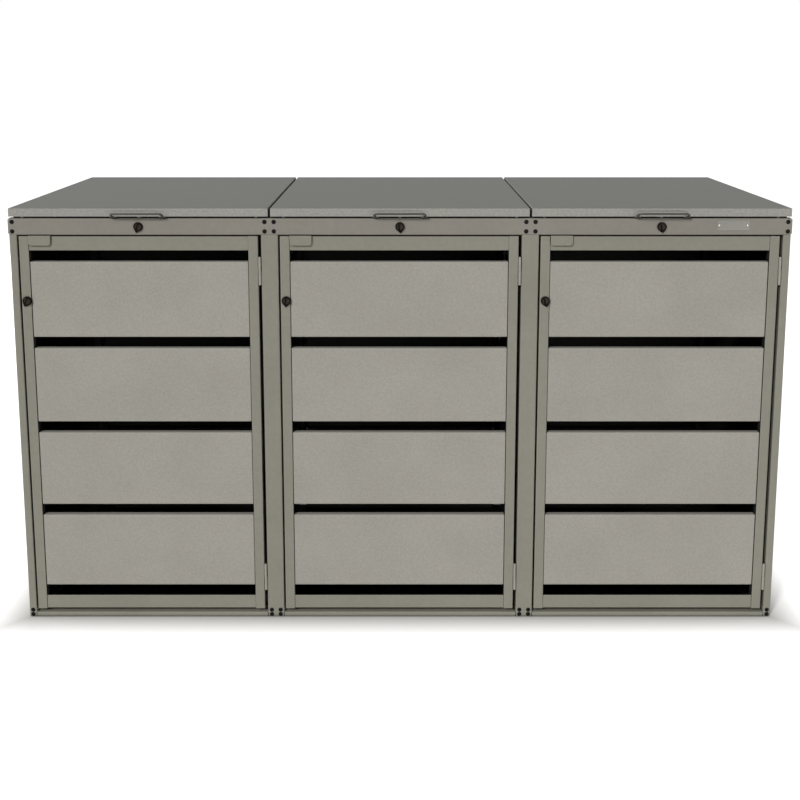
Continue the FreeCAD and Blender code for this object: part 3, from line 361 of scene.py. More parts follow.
@dataclass(frozen=True)
class Moulded(Finish):
    """A moulded or dipped piece: nylon from a polished tool, blackened steel or rubber.

    It gives one even colour with a trace of grain. On the black ones the gloss is what the eye
    sees. A piece may be paler where its own value says so, a painted sheen.
    """

    colour: str
    paler: str
    roughness: float
    grain_mm: float
    grain_strength: float
    specular: float
    grain_depth_mm: float = 0.2
    painted_sheen: str | None = None

    def shader(self, tree: Tree, place: Node) -> Node:
        """Adds the grain, which changes colour, sheen and height, and the painted sheen.

        Args:
            tree: the material's tree.
            place: its texture coordinates.

        Returns:
            The shader's node.
        """
        grain = add(tree, "TexNoise", {
            "Scale": per_metre(self.grain_mm), "Detail": 3.0, "Vector": place.outputs["Object"]})
        colour = add(tree, "Mix", {
            "data_type": "RGBA", SHARE: grain, FIRST: linear(self.colour), SECOND: linear(self.paler)})
        # painted sheen: paler where the point's own value says so
        if self.painted_sheen:
            sheen_share = add(tree, "Attribute", {"attribute_name": "sheen_share"})
            colour = add(tree, "Mix", {
                "data_type": "RGBA", SHARE: sheen_share.outputs["Fac"], FIRST: colour,
                SECOND: linear(self.painted_sheen)})
        rough = add(tree, "MapRange", {
            "To Min": self.roughness * 0.8, "To Max": self.roughness * 1.25, "Value": grain})
        bump = add(tree, "Bump", {
            "Strength": self.grain_strength, "Distance": self.grain_depth_mm * MM, "Height": grain})
        return add(tree, "BsdfPrincipled", {
            "IOR": PLASTIC_IOR, "Specular IOR Level": self.specular, "Base Color": colour,
            "Roughness": rough, "Normal": bump})


@dataclass(frozen=True)
class StudioFloor(Finish):
    """Matt white paint that keeps the store's soft shadow and otherwise reads white.

    Its sizes are metres. The ground under the store, half_width and half_depth from the middle,
    is a dark painted shade. The white paint starts within edge of there, and the lift to white
    within fade.
    """

    name: str = "studio floor, matt white paint"
    colour: str = "c8c7c4"
    paler: str = "cccbc8"
    grain_mm: float = 40.0
    lift: float = 0.88
    # the painted shade on the ground under the store
    shade: str = "2c2b2a"
    half_width: float = 1.03
    half_depth: float = 0.397
    edge: float = 0.006
    fade: float = 0.13

    def shader(self, tree: Tree, place: Node) -> Node:
        """Adds the paint, the shade under the store and the lift that only rays to the eye see.

        Args:
            tree: the material's tree.
            place: its texture coordinates.

        Returns:
            The shader's node.
        """
        where = place.outputs["Object"]
        grain = add(tree, "TexNoise", {
            "Scale": per_metre(self.grain_mm), "Detail": 2.0, "Vector": where})
        colour = add(tree, "Mix", {
            "data_type": "RGBA", SHARE: grain, FIRST: linear(self.colour), SECOND: linear(self.paler)})
        # 0 under the store and 1 on the open floor, once for the painted shade and once for the lift
        parts = add(tree, "SeparateXYZ", {0: where})
        is_open = []
        for fade in (self.edge, self.fade):
            beyond = []
            for axis, half in (("X", self.half_width), ("Y", self.half_depth)):
                far = add(tree, "Math", {"operation": "ABSOLUTE", 0: parts.outputs[axis]})
                beyond.append(add(tree, "MapRange", {
                    "From Min": half, "From Max": half + fade, "Value": far}))
            is_open.append(add(tree, "Math", {"operation": "MAXIMUM", 0: beyond[0], 1: beyond[1]}))
        past_painted_shade, lift_here = is_open
        # painted shade under the store, the white paint beyond it
        ground = add(tree, "Mix", {
            "data_type": "RGBA", SHARE: past_painted_shade, FIRST: linear(self.shade), SECOND: colour})
        paint = add(tree, "BsdfDiffuse", {"Color": ground})
        ray = add(tree, "LightPath")
        seen = add(tree, "Math", {
            "operation": "MAXIMUM", 0: ray.outputs["Is Camera Ray"], 1: ray.outputs["Is Glossy Ray"]})
        seen_here = add(tree, "Math", {"operation": "MULTIPLY", 0: seen, 1: lift_here})
        lift = add(tree, "Math", {"operation": "MULTIPLY", 0: seen_here, 1: self.lift})
        glow = add(tree, "Emission", {"Color": WHITE, "Strength": lift})
        return add(tree, "AddShader", {0: paint, 1: glow})


class Palette:
    """Every finish of the store, made once."""

    def __init__(self, door_middles: list[float]) -> None:
        """Makes the materials.

        Args:
            door_middles: the x of every door's middle in millimetres.
        """
        # The third colour of every coat is its painted highlight along the folds.
        self.panel = PowderCoat("powder coat on zinc-coated door panels", "a19e96", "949189", "b8b5ac",
                                mottle=0.9, fleck_mm=5.5).material()
        self.header = PowderCoat("powder coat on the folded header", "88847c", "827e75", "a5a196",
                                 mottle=0.6, fleck_mm=14.0).material()
        post = PowderCoat("powder coat on folded posts and sills", "89877c", "838075", "a8a699",
                          mottle=0.6, fleck_mm=14.0)
        # The rear pieces and the door frames take a dark painted shade on their inner sides.
        rear = replace(post, name="powder coat on rear posts and sills, painted shade inside", inner="262524")
        self.post, self.rear = post.material(), rear.material()
        self.door_frames = [replace(rear, name=f"powder coat on door frame {bay}, primer in its window",
                                    window_middle_mm=middle).material()
                            for bay, middle in enumerate(door_middles, start=1)]
        # The lids' tops take painted shade in a darker, more even tone.
        self.lid = PowderCoat("powder coat on the folded lids", "9f9e98", "8d8c86", "b2b1aa",
                              mottle=1.0, fleck_mm=7.0, top_shade="7f7f7b").material()
        # The walls take a dark painted shade on their inner sides.
        self.wall = PowderCoat("powder coat on the walls, painted shade inside", "9a978f", "908e86", "aaa89f",
                               mottle=0.9, inner="2c2b29").material()
        # The partitions are a dark painted shade all over.
        self.partition = PowderCoat("dark painted shade on the partitions", "383734", "32312e", "44433f",
                                    mottle=0.7).material()
        self.plate = PowderCoat("clear-lacquered bare plate", "8f8d87", "8a8882", "b4b2ac", mottle=0.6,
                                fleck_mm=3.0, roughness=0.42).material()
        self.bar = DullSteel("lacquered drawn steel bar", "2e2f28", "3c3d35").material()
        self.zinc = ZincPlate("zinc-plated hardware", "8f8e8a", "7d7c79", roughness=0.46).material()
        self.rivet = ZincPlate("zinc-plated dome rivets", "b4b2ad", "9a9893", roughness=0.22).material()
        self.bolt = Moulded("black oxide steel bolts", "131211", "1f1d1b", roughness=0.34, grain_mm=1.5,
                            grain_strength=0.1, specular=0.05).material()
        nylon = Moulded("satin black nylon", "0e0c0a", "191613", roughness=0.3, grain_mm=2.0,
                        grain_strength=0.05, specular=0.08)
        self.nylon = nylon.material()
        # The flaps take a paler painted sheen over their middles.
        self.flap = replace(nylon, name="satin black nylon, rubbed on the flaps", colour="0b0907",
                            paler="12100e", specular=0.025, painted_sheen="353029").material()
        self.rubber = Moulded("grey moulded rubber", "a3a29c", "b0afa9", roughness=0.7, grain_mm=1.0,
                              grain_strength=0.3, specular=0.3).material()


# Surfaces

def angles(count: int, first: float = 0.0) -> np.ndarray:
    """Evenly spaced angles over a full turn, the first of them at that many spacings."""
    return (np.arange(count) + first) * 2 * np.pi / count


def lattice(x: np.ndarray | list, y: np.ndarray | list, z: np.ndarray | list) -> np.ndarray:
    """Every point with an x, a y and a z out of the three lists, as rows."""
    return np.stack(np.meshgrid(x, y, z, indexing="ij"), axis=-1).reshape(-1, 3)


def cap_heights(reach: np.ndarray, radius: float, height: float) -> np.ndarray:
    """Heights of a ball's cap over its rim: h(s) = sqrt(R^2 - s^2) - (R - h), R = (r^2 + h^2) / 2h.

    Args:
        reach: distances s from the cap's axis.
        radius: the rim's radius r.
        height: the cap's height h.

    Returns:
        A height for every distance.
    """
    ball = (radius ** 2 + height ** 2) / (2 * height)
    return np.sqrt(ball ** 2 - reach ** 2) - (ball - height)


def past(distance: np.ndarray, softness: float) -> np.ndarray:
    """A soft step over a signed distance, 0 before a line and 1 past it: 1 / (1 + exp(-d / s))."""
    return 1 / (1 + np.exp(-distance / softness))


@dataclass
class Surface:
    """Points in millimetres and the quads between them."""

    points: np.ndarray
    faces: np.ndarray

    def moved(self, turns: np.ndarray, places: np.ndarray) -> "Surface":
        """Turned copies: every point p becomes T p + s for each turn T and place s.

        Args:
            turns: one turn of shape (3, 3), or one for each place, of shape (k, 3, 3).
            places: places of shape (k, 3).

        Returns:
            One surface that holds the k copies.
        """
        turns = np.broadcast_to(turns, (len(places), 3, 3))
        points = np.einsum("kij,nj->kni", turns, self.points) + places[:, None, :]
        faces = self.faces[None] + (np.arange(len(places)) * len(self.points))[:, None, None]
        return Surface(points.reshape(-1, 3), faces.reshape(-1, 4))


def grid_faces(rows: int, columns: int, close_rows: bool = False,
               close_columns: bool = True) -> np.ndarray:
    """Quads between neighbouring points of a grid that is numbered row by row.

    Args:
        rows: number of rows.
        columns: points in a row.
        close_rows: whether the last row joins the first.
        close_columns: whether the last column joins the first.

    Returns:
        Point numbers of shape (quads, 4).
    """
    row, column = np.meshgrid(np.arange(rows - (not close_rows)),
                              np.arange(columns - (not close_columns)), indexing="ij")
    next_row, next_column = (row + 1) % rows, (column + 1) % columns
    quads = np.stack([row * columns + column, row * columns + next_column,
                      next_row * columns + next_column, next_row * columns + column], axis=-1)
    return quads.reshape(-1, 4)


def turned_solid(radii: np.ndarray, heights: np.ndarray, sides: int = 32) -> Surface:
    """A turned solid about the Y axis.

    The point at row u and angle v is (r(u, v) cos v, h(u), r(u, v) sin v).

    Args:
        radii: radii of shape (rows,), or (rows, sides) where they change with the angle.
        heights: heights along Y of shape (rows,).
        sides: how many points go round.

    Returns:
        The surface; rows of radius 0 at its ends close it.
    """
    radius = radii if radii.ndim == 2 else np.repeat(radii[:, None], sides, axis=1)
    angle = angles(sides)
    height = np.broadcast_to(heights[:, None], radius.shape)
    points = np.stack([radius * np.cos(angle), height, radius * np.sin(angle)], axis=-1)
    return Surface(points.reshape(-1, 3), grid_faces(*radius.shape)[:, ::-1])


def piece(name: str, surfaces: list[Surface], materials: list[Material], body: str,
          replaces: str, sharp: float = 35.0) -> bpy.types.Object:
    """Makes an object of closed surfaces that stands in for a CAD node and moves with its body.

    Args:
        name: the piece's name.
        surfaces: its closed shells; shell k takes material k, or the last one.
        materials: its finishes.
        body: the CAD body that it moves with.
        replaces: the CAD node that it stands for.
        sharp: edges steeper than this many degrees stay sharp.

    Returns:
        The object.
    """
    starts = np.cumsum([0] + [len(surface.points) for surface in surfaces])
    points = np.concatenate([surface.points for surface in surfaces]) * MM
    faces = np.concatenate([surface.faces + start for surface, start in zip(surfaces, starts)])
    which = np.concatenate([np.full(len(surface.faces), min(k, len(materials) - 1))
                            for k, surface in enumerate(surfaces)])
    steps = np.round(points * MERGE_STEPS).astype(np.int64)
    _, first, back = np.unique(steps, axis=0, return_index=True, return_inverse=True)
    faces = back.reshape(-1)[faces]
    real = (np.diff(np.sort(faces, axis=1), axis=1) > 0).sum(axis=1) >= 2
    faces, which = faces[real], which[real]
    mesh = bpy.data.meshes.new(name)
    outlines = [tuple(dict.fromkeys(face)) for face in faces.tolist()]
    mesh.from_pydata(points[first].tolist(), [], outlines)
    for material in materials:
        mesh.materials.append(material)
    mesh.polygons.foreach_set("material_index", which.astype(np.int32))
    mesh.update()
    mesh.shade_smooth()
    mesh.set_sharp_from_angle(angle=math.radians(sharp))
    shown = bpy.data.objects.new(name, mesh)
    bpy.context.scene.collection.objects.link(shown)
    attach(shown, body)
    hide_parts(replaces)
    away = np.abs(np.array(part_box(replaces)) - (points.min(axis=0), points.max(axis=0))).max()
    log.info("%s stands for %s, boxes within %.2f mm", name, replaces, away / MM)
    return shown


def dress(material: Material, *nodes: str) -> None:
    """Gives CAD nodes their finish.

    Args:
        material: the finish.
        nodes: the nodes' names.
    """
    for node in nodes:
        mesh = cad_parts[node].data
        mesh.materials.clear()
        mesh.materials.append(material)


def about(axis: int, degrees: float) -> np.ndarray:
    """Works out a turn's matrix.

    Args:
        axis: 0, 1 or 2 for a turn about X, Y or Z.
        degrees: its angle.

    Returns:
        The matrix, of shape (3, 3).
    """
    cosine, sine = math.cos(math.radians(degrees)), math.sin(math.radians(degrees))
    matrix = np.eye(3)
    first, second = (axis + 1) % 3, (axis + 2) % 3
    matrix[first, first] = matrix[second, second] = cosine
    matrix[first, second], matrix[second, first] = -sine, sine
    return matrix


# The store

@dataclass
class Layout:
    """Places that the sub-assemblies share, from the part's driving dimensions."""

    bays: int = 3
    bay_opening: float = 647.5
    inner_post_face: float = 46.0
    outer_post_face: float = 20.75
    body_depth: float = 815.0
    door_bottom: float = 23.0
    door_height: float = 1055.0
    door_header_gap: float = 3.5
    header_height: float = 45.0
    lid_gap: float = 4.5
    lid_spacing: float = 5.5
    frame_sheet: float = 2.0
    reach_front: float = 26.75
    reach_back: float = 10.5
    lock_side_gap: float = 4.2
    hinge_side_gap: float = 8.3
    lock_from_edge: float = 15.2
    lock_height: float = 903.0

    def __post_init__(self) -> None:
        """Works out the derived places."""
        self.numbers = range(1, self.bays + 1)
        self.pitch = self.bay_opening + self.inner_post_face
        self.front = self.reach_front - (self.reach_front + self.body_depth + self.reach_back) / 2
        self.back = self.front + self.body_depth
        self.face = self.front + self.frame_sheet
        self.header_middle = (self.door_bottom + self.door_height + self.door_header_gap
                              + self.header_height / 2)
        self.header_top = self.header_middle + self.header_height / 2
        self.lid_low = self.header_top + self.lid_gap
        self.lid_width = self.pitch - self.lid_spacing
        self.outer_edge = (self.bays * self.pitch - self.inner_post_face) / 2 + self.outer_post_face

    def middle(self, bay: int) -> float:
        """The x of the middle of a bay, numbered from 1."""
        return (bay - (self.bays + 1) / 2) * self.pitch

    def door_middle(self, bay: int) -> float:
        """The x of the middle of a bay's door, whose gaps at its two sides differ."""
        return self.middle(bay) + (self.lock_side_gap - self.hinge_side_gap) / 2

    def lock_x(self, bay: int) -> float:
        """The x of a door's lock."""
        return self.middle(bay) - self.bay_opening / 2 + self.lock_side_gap + self.lock_from_edge


@dataclass
class Assembly:
    """A sub-assembly of the store; each kind builds its own pieces."""

    layout: Layout
    palette: Palette

    def build(self) -> None:
        """Makes the scene's own pieces and dresses the CAD nodes."""
        raise NotImplementedError(f"{type(self).__name__} has nothing to build")


@dataclass
class Framework(Assembly):
    """Posts, header, rails, sills and walls, with their bolts and nuts."""

    head_radius: float = 6.0
    head_height: float = 3.3
    head_edge: float = 0.2
    dome_span: tuple[float, float] = (0.49, 0.985)
    dome_rows: int = 9
    shank_radius: float = 3.0
    shank_length: float = 14.0
    shank_chamfer: float = 0.6
    socket_across: float = 4.6
    socket_depth: float = 1.8
    socket_lip: float = 0.02
    socket_chamfer: float = 0.15
    bolt_spacing: float = 24.5
    header_rows: float = 25.4
    foot_low: float = 6.3
    foot_rows: float = 12.7
    side_inset: float = 36.0
    sides: int = 24

    def bolt(self) -> Surface:
        """A dome-head bolt with a hexagon socket, its head's seat at y = 0.

        Radius over angle is the hexagon's a / cos(v - 60 round(v / 60)) in the socket and constant
        elsewhere. The dome over dome_span of the head's radius is a ball's cap.

        Returns:
            The closed bolt, pointing along Y.
        """
        angle, sixth = angles(self.sides) + np.pi / 6, np.pi / 3
        hexagon = self.socket_across / 2 / np.cos(angle - sixth * np.round(angle / sixth))
        reach = np.linspace(*self.dome_span, self.dome_rows) * self.head_radius
        dome = cap_heights(reach, self.head_radius, self.head_height)
        top = dome[0] + self.socket_lip
        bottom = top - self.socket_depth
        rows = [(0.0, bottom), (hexagon, bottom), (hexagon, top - self.socket_chamfer),
                *zip(reach, dome), (self.head_radius, self.head_edge), (self.head_radius, 0.0),
                (self.shank_radius, 0.0),
                (self.shank_radius, self.shank_chamfer - self.shank_length),
                (self.shank_radius - self.shank_chamfer, -self.shank_length), (0.0, -self.shank_length)]
        radii = np.stack([np.broadcast_to(radius, self.sides) for radius, _ in rows])
        return turned_solid(radii, -np.array([height for _, height in rows]), self.sides)

    def places(self) -> tuple[np.ndarray, np.ndarray]:
        """Finds every bolt: front, back, left and right.

        Returns:
            The bolts' turns of shape (bolts, 3, 3) and places of shape (bolts, 3).
        """
        at = self.layout
        corner = at.outer_edge - at.outer_post_face + (at.inner_post_face - self.bolt_spacing) / 2
        inner = np.array([[at.middle(bay) + at.pitch / 2] for bay in at.numbers[:-1]])
        columns = np.concatenate([[-corner], (inner + PAIR * self.bolt_spacing).ravel(), [corner]])
        top = at.header_middle + PAIR * self.header_rows
        foot = self.foot_low + np.array([0.0, self.foot_rows])
        front = np.concatenate([lattice(columns, [at.front], top), lattice(columns, [at.face], foot)])
        rear = front * np.array([1, -1, 1]) + np.array([0, at.front + at.back, 0])
        left = lattice([-at.outer_edge - at.frame_sheet],
                       [at.front + self.side_inset, at.back - self.side_inset], top)
        right = left * np.array([-1, 1, 1])
        groups = ((0, front), (180, rear), (-90, left), (90, right))
        turns = [np.broadcast_to(about(2, degrees), (len(group), 3, 3)) for degrees, group in groups]
        return np.concatenate(turns), np.concatenate([group for _, group in groups])

    def build(self) -> None:
        """Makes the bolts, coats the sheet pieces and plates the nuts."""
        piece("dome_head_bolts", [self.bolt().moved(*self.places())], [self.palette.bolt], "frame",
              "frame_bolts")
        dress(self.palette.post, "front_corner_posts", "front_inner_post_left",
              "front_inner_post_right", "front_sills", "top_rails")
        # the rear pieces and walls take painted shade on their inner sides, the partitions all over
        dress(self.palette.rear, "rear_posts", "rear_and_side_sills")
        dress(self.palette.header, "header")
        dress(self.palette.wall, "side_wall_left", "side_wall_right", "rear_walls")
        dress(self.palette.partition, "partitions")
        dress(self.palette.zinc, "frame_nuts", "stay_pins")


@dataclass
class HeaderTrim(Assembly):
    """The bare plate with its rivets, and the rubber buffers under the lids."""

    plate_width: float = 86.0
    plate_height: float = 26.5
    plate_thickness: float = 1.0
    plate_corner: float = 3.0
    least_corner: float = 0.2
    plate_middle: float = 883.4
    plate_rise: float = 3.0
    border_insets: tuple[float, ...] = (0.0, 0.0, 0.25, 1.6, 2.0, 2.6, 3.0)
    border_levels: tuple[float, ...] = (0.0, 0.8, 1.0, 1.0, 0.98, 0.72, 0.7)
    plate_sides: int = 96
    rivet_spacing: float = 75.3
    rivet_radius: float = 3.6
    rivet_height: float = 2.1
    rivet_rows: int = 10
    buffer_radius: float = 3.5
    buffer_inset: float = 34.0
    buffer_set_back: float = 11.5
    buffer_height: float = 4.2
    buffer_rim: float = 1.0
    buffer_rows: int = 7
    dimple_radii: tuple[float, float] = (1.6, 1.1)
    dimple_depth: float = 0.4

    def plate(self) -> Surface:
        """A plate with rounded corners and a low pressed border.

        The outline over the angle v is that of a rounded rectangle, the corner circle added to the
        inner rectangle's nearest corner. Row u scales it by an inset, and the height steps with u.

        Returns:
            The closed plate on the header.
        """
        angle = angles(self.plate_sides, 0.5)
        unit = np.stack([np.cos(angle), np.sin(angle)], axis=-1)
        half = np.array([self.plate_width, self.plate_height]) / 2
        insets = np.array(self.border_insets)[:, None, None]
        corner = np.maximum(self.plate_corner - insets, self.least_corner)
        core = half - np.maximum(self.plate_corner, insets + self.least_corner)
        outline = np.sign(unit) * core + corner * unit
        x, z = self.plate_middle, self.layout.header_middle + self.plate_rise
        y = self.layout.front - np.array(self.border_levels) * self.plate_thickness
        rows = np.stack([x + outline[..., 0], np.broadcast_to(y[:, None], outline.shape[:2]),
                         z + outline[..., 1]], axis=-1)
        back, front = (np.broadcast_to([x, end, z], (1, self.plate_sides, 3)) for end in (y[0], y[-1]))
        whole = np.concatenate([back, rows, front])
        return Surface(whole.reshape(-1, 3), grid_faces(*whole.shape[:2]))

    def rivets(self) -> Surface:
        """Two dome rivets: a ball's cap over a short shank of half its radius.

        Returns:
            The closed rivets on the plate.
        """
        radius, depth = self.rivet_radius, self.plate_thickness + self.layout.frame_sheet
        reach = np.linspace(0.0, 1.0, self.rivet_rows) * radius
        radii = np.concatenate([reach, [radius / 2, radius / 2, 0.0]])
        heights = np.concatenate([cap_heights(reach, radius, self.rivet_height), [0.0, -depth, -depth]])
        places = lattice(self.plate_middle + PAIR * self.rivet_spacing,
                         [self.layout.front - self.plate_thickness],
                         [self.layout.header_middle + self.plate_rise])
        return turned_solid(radii, -heights).moved(np.eye(3), places)

    def buffers(self) -> Surface:
        """Round rubber pads: a turned profile with a rounded rim and a small dimple.

        Returns:
            The closed pads, three under each lid.
        """
        at = self.layout
        end = at.lid_width / 2 - self.buffer_inset
        x = np.array([[at.middle(bay)] for bay in at.numbers]) + np.array([-end, 0.0, end])
        turn = np.linspace(0, np.pi / 2, self.buffer_rows)
        radius, height, rim = self.buffer_radius, self.buffer_height, self.buffer_rim
        floor = height - self.dimple_depth
        radii = np.concatenate([[0.0, radius], radius - rim + rim * np.cos(turn), self.dimple_radii,
                                [0.0]])
        heights = np.concatenate([[0.0, 0.0], height - rim + rim * np.sin(turn),
                                  [height, floor, floor]])
        places = lattice(x.ravel(), [at.front + self.buffer_set_back], [at.header_top])
        return turned_solid(radii, heights).moved(about(0, 90), places)

    def build(self) -> None:
        """Makes the plate, its rivets and the buffers."""
        for name, surface, material, slot, node in (
                ("bare_name_plate", self.plate(), self.palette.plate, Slot.BAR, "name_plate"),
                ("name_plate_rivets", self.rivets(), self.palette.rivet, Slot.BAR, "plate_rivets"),
                ("round_lid_buffers", self.buffers(), self.palette.rubber, Slot.RUBBER, "lid_buffers")):
            piece(name, [surface], [material], "frame", node)


@dataclass
class Lock(Assembly):
    """A cam lock with a drop-shaped dust flap that hangs on a rivet over the keyhole."""

    cap_radius: float = 12.25
    cap_thickness: float = 3.0
    pivot_rise: float = 8.5
    tail: float = 17.5
    gap: float = 0.3
    thickness: float = 2.4
    crown: float = 60.0
    ridge_width: float = 2.6
    ridge_height: float = 1.0
    ridge_top: float = 4.5
    ridge_fades: tuple[float, float] = (0.4, 0.5)
    groove_width: float = 2.4
    groove_depth: float = 1.9
    groove_beside: float = 2.2
    pin_radius: float = 1.2
    head_radius: float = 2.4
    fit: float = 0.06
    seat_depth: float = 0.9
    seat_lip: float = 0.2
    seat_round: float = 0.25
    edge_round: float = 0.35
    edge_chamfer: float = 0.3
    # where the flap's painted sheen ends, and how softly
    sheen_radius: float = 8.6
    sheen_fade: float = 0.8
    band_width: float = 3.6
    door_leans: tuple[float, ...] = (-26.0, -6.0, 14.0)
    lid_leans: tuple[float, ...] = (-18.0, 5.0, 8.0)
    sides: int = 96
    crowding: float = 0.8
    front_rows: int = 20
    round_rows: int = 4

    def outline(self, angle: np.ndarray) -> np.ndarray:
        """Distance from the rivet to the drop's edge.

        A ray at the angle v from straight up leaves the disc at -p cos v + sqrt(R^2 - p^2 sin^2 v),
        with p the rivet's rise. Between the two points where the tail's straight sides touch the
        disc it leaves through the nearer side instead, at (R - n.p) / (n.d) for the side's normal n.

        Args:
            angle: angles from straight up.

        Returns:
            A distance for every angle.
        """
        rise, radius = self.pivot_rise, self.cap_radius
        way = np.stack([np.sin(angle), np.cos(angle)], axis=-1)
        disc = -rise * way[:, 1] + np.sqrt(radius ** 2 - (rise * way[:, 0]) ** 2)
        lean = math.acos(radius / self.tail)
        normal = np.array([math.sin(lean), -math.cos(lean)])
        facing = np.maximum(np.abs(way[:, 0]) * normal[0] + way[:, 1] * normal[1], 1e-6)
        side = (radius - rise * normal[1]) / facing
        touch = normal * radius - np.array([0.0, rise])
        return np.where(way[:, 1] < touch[1] / np.hypot(*touch), side, disc)

    def flap(self) -> Surface:
        """The drop, domed towards the front, with a ridge down its middle and a recess at the rivet.

        Row u runs from the rivet's hole over the front to the edge and back under it. Column k is
        at the angle v = 2 pi k / n + c sin(2 pi k / n), closest together down the tail. A front
        point at distance s from the disc's middle stands c(s) = t - (F - sqrt(F^2 - s^2)) proud, F
        being the crown's radius, plus the ridge, a bump exp(-(x / w)^2) that fades at its ends,
        less a groove exp(-(x / g)^4) beside it.

        Returns:
            The closed flap in front of the cap, with the disc's middle on the Y axis.
        """
        turn = angles(self.sides)
        angle = turn + self.crowding * np.sin(turn)
        edge = self.outline(angle)
        hole, seat = self.pin_radius + self.fit, self.head_radius + self.gap
        start = seat + self.seat_round
        front = start + np.linspace(0, 1, self.front_rows)[:, None] * (edge - self.edge_round - start)
        quarter = np.linspace(0, np.pi / 2, self.round_rows + 1)[1:, None]
        rolled = edge - self.edge_round * (1 - np.sin(quarter))
        recess = np.repeat([hole, hole, seat, seat], self.sides).reshape(4, self.sides)
        reach = np.concatenate([recess, front, rolled, [edge, edge - self.edge_chamfer]])
        x, z = reach * np.sin(angle), reach * np.cos(angle) + self.pivot_rise
        proud = self.thickness - (self.crown - np.sqrt(self.crown ** 2 - x ** 2 - z ** 2))
        fade = (past(self.ridge_top - z, self.ridge_fades[0])
                * past(z + self.tail * 2 / 3, self.ridge_fades[1]))
        ridge = self.ridge_height * np.exp(-(2 * x / self.ridge_width) ** 2) * fade
        groove = self.groove_depth * np.exp(-(2 * (x + self.groove_beside) / self.groove_width) ** 4)
        height = proud + ridge - groove * fade
        height[0] = 0.0
        height[1:3] = self.thickness - self.seat_depth
        height[3] = proud[3] - self.seat_lip
        bend = slice(-2 - self.round_rows, -2)
        height[bend] = proud[bend] - self.edge_round * (1 - np.cos(quarter))
        height[-2], height[-1] = self.edge_chamfer, 0.0
        points = np.stack([x, -(self.cap_thickness + self.gap) - height, z], axis=-1)
        return Surface(points.reshape(-1, 3), grid_faces(*reach.shape, close_rows=True))

    def paint_sheen(self, shown: bpy.types.Object, turn: np.ndarray, place: np.ndarray) -> None:
        """Gives a flap its own value for the painted sheen: 1 over its middle and 0 on its rim and
        groove.

        With r the distance from the disc's middle it is a soft step 1 / (1 + exp((r - R) / s)) at
        the sheen's radius R, times 1 less the band exp(-((x + b) / w)^4) over the groove at x = -b.

        Args:
            shown: the flap.
            turn: its turn, of shape (3, 3).
            place: the lock's middle in millimetres.
        """
        mesh = shown.data
        points = np.empty(len(mesh.vertices) * 3)
        mesh.vertices.foreach_get("co", points)
        own = (points.reshape(-1, 3) / MM - place) @ turn
        middle = past(self.sheen_radius - np.hypot(own[:, 0], own[:, 2]), self.sheen_fade)
        band = np.exp(-(2 * (own[:, 0] + self.groove_beside) / self.band_width) ** 4)
        sheen_share = mesh.attributes.new("sheen_share", "FLOAT", "POINT")
        sheen_share.data.foreach_set("value", (middle * (1 - band)).astype(np.float32))

    def build(self) -> None:
        """Makes the six flaps and dresses the caps, plugs and cams."""
        at = self.layout
        dress(self.palette.nylon, "lid_lock_housings")
        for bay in at.numbers:
            dress(self.palette.nylon, f"door_lock_housing_{bay}")
            for kind, x, y, z, lean in (
                    ("door", at.lock_x(bay), at.face, at.lock_height, self.door_leans[bay - 1]),
                    ("lid", at.middle(bay), at.front, at.header_middle, self.lid_leans[bay - 1])):
                turn, place = about(1, -lean), np.array([x, y, z])
                shown = piece(f"{kind}_dust_flap_{bay}", [self.flap().moved(turn, place[None])],
                              [self.palette.flap], f"{kind}_flap_{bay}",
                              f"{kind}_lock_flap_{bay}")
                # the flap's painted sheen
                self.paint_sheen(shown, turn, place)
                dress(self.palette.zinc, f"{kind}_lock_cam_{bay}")


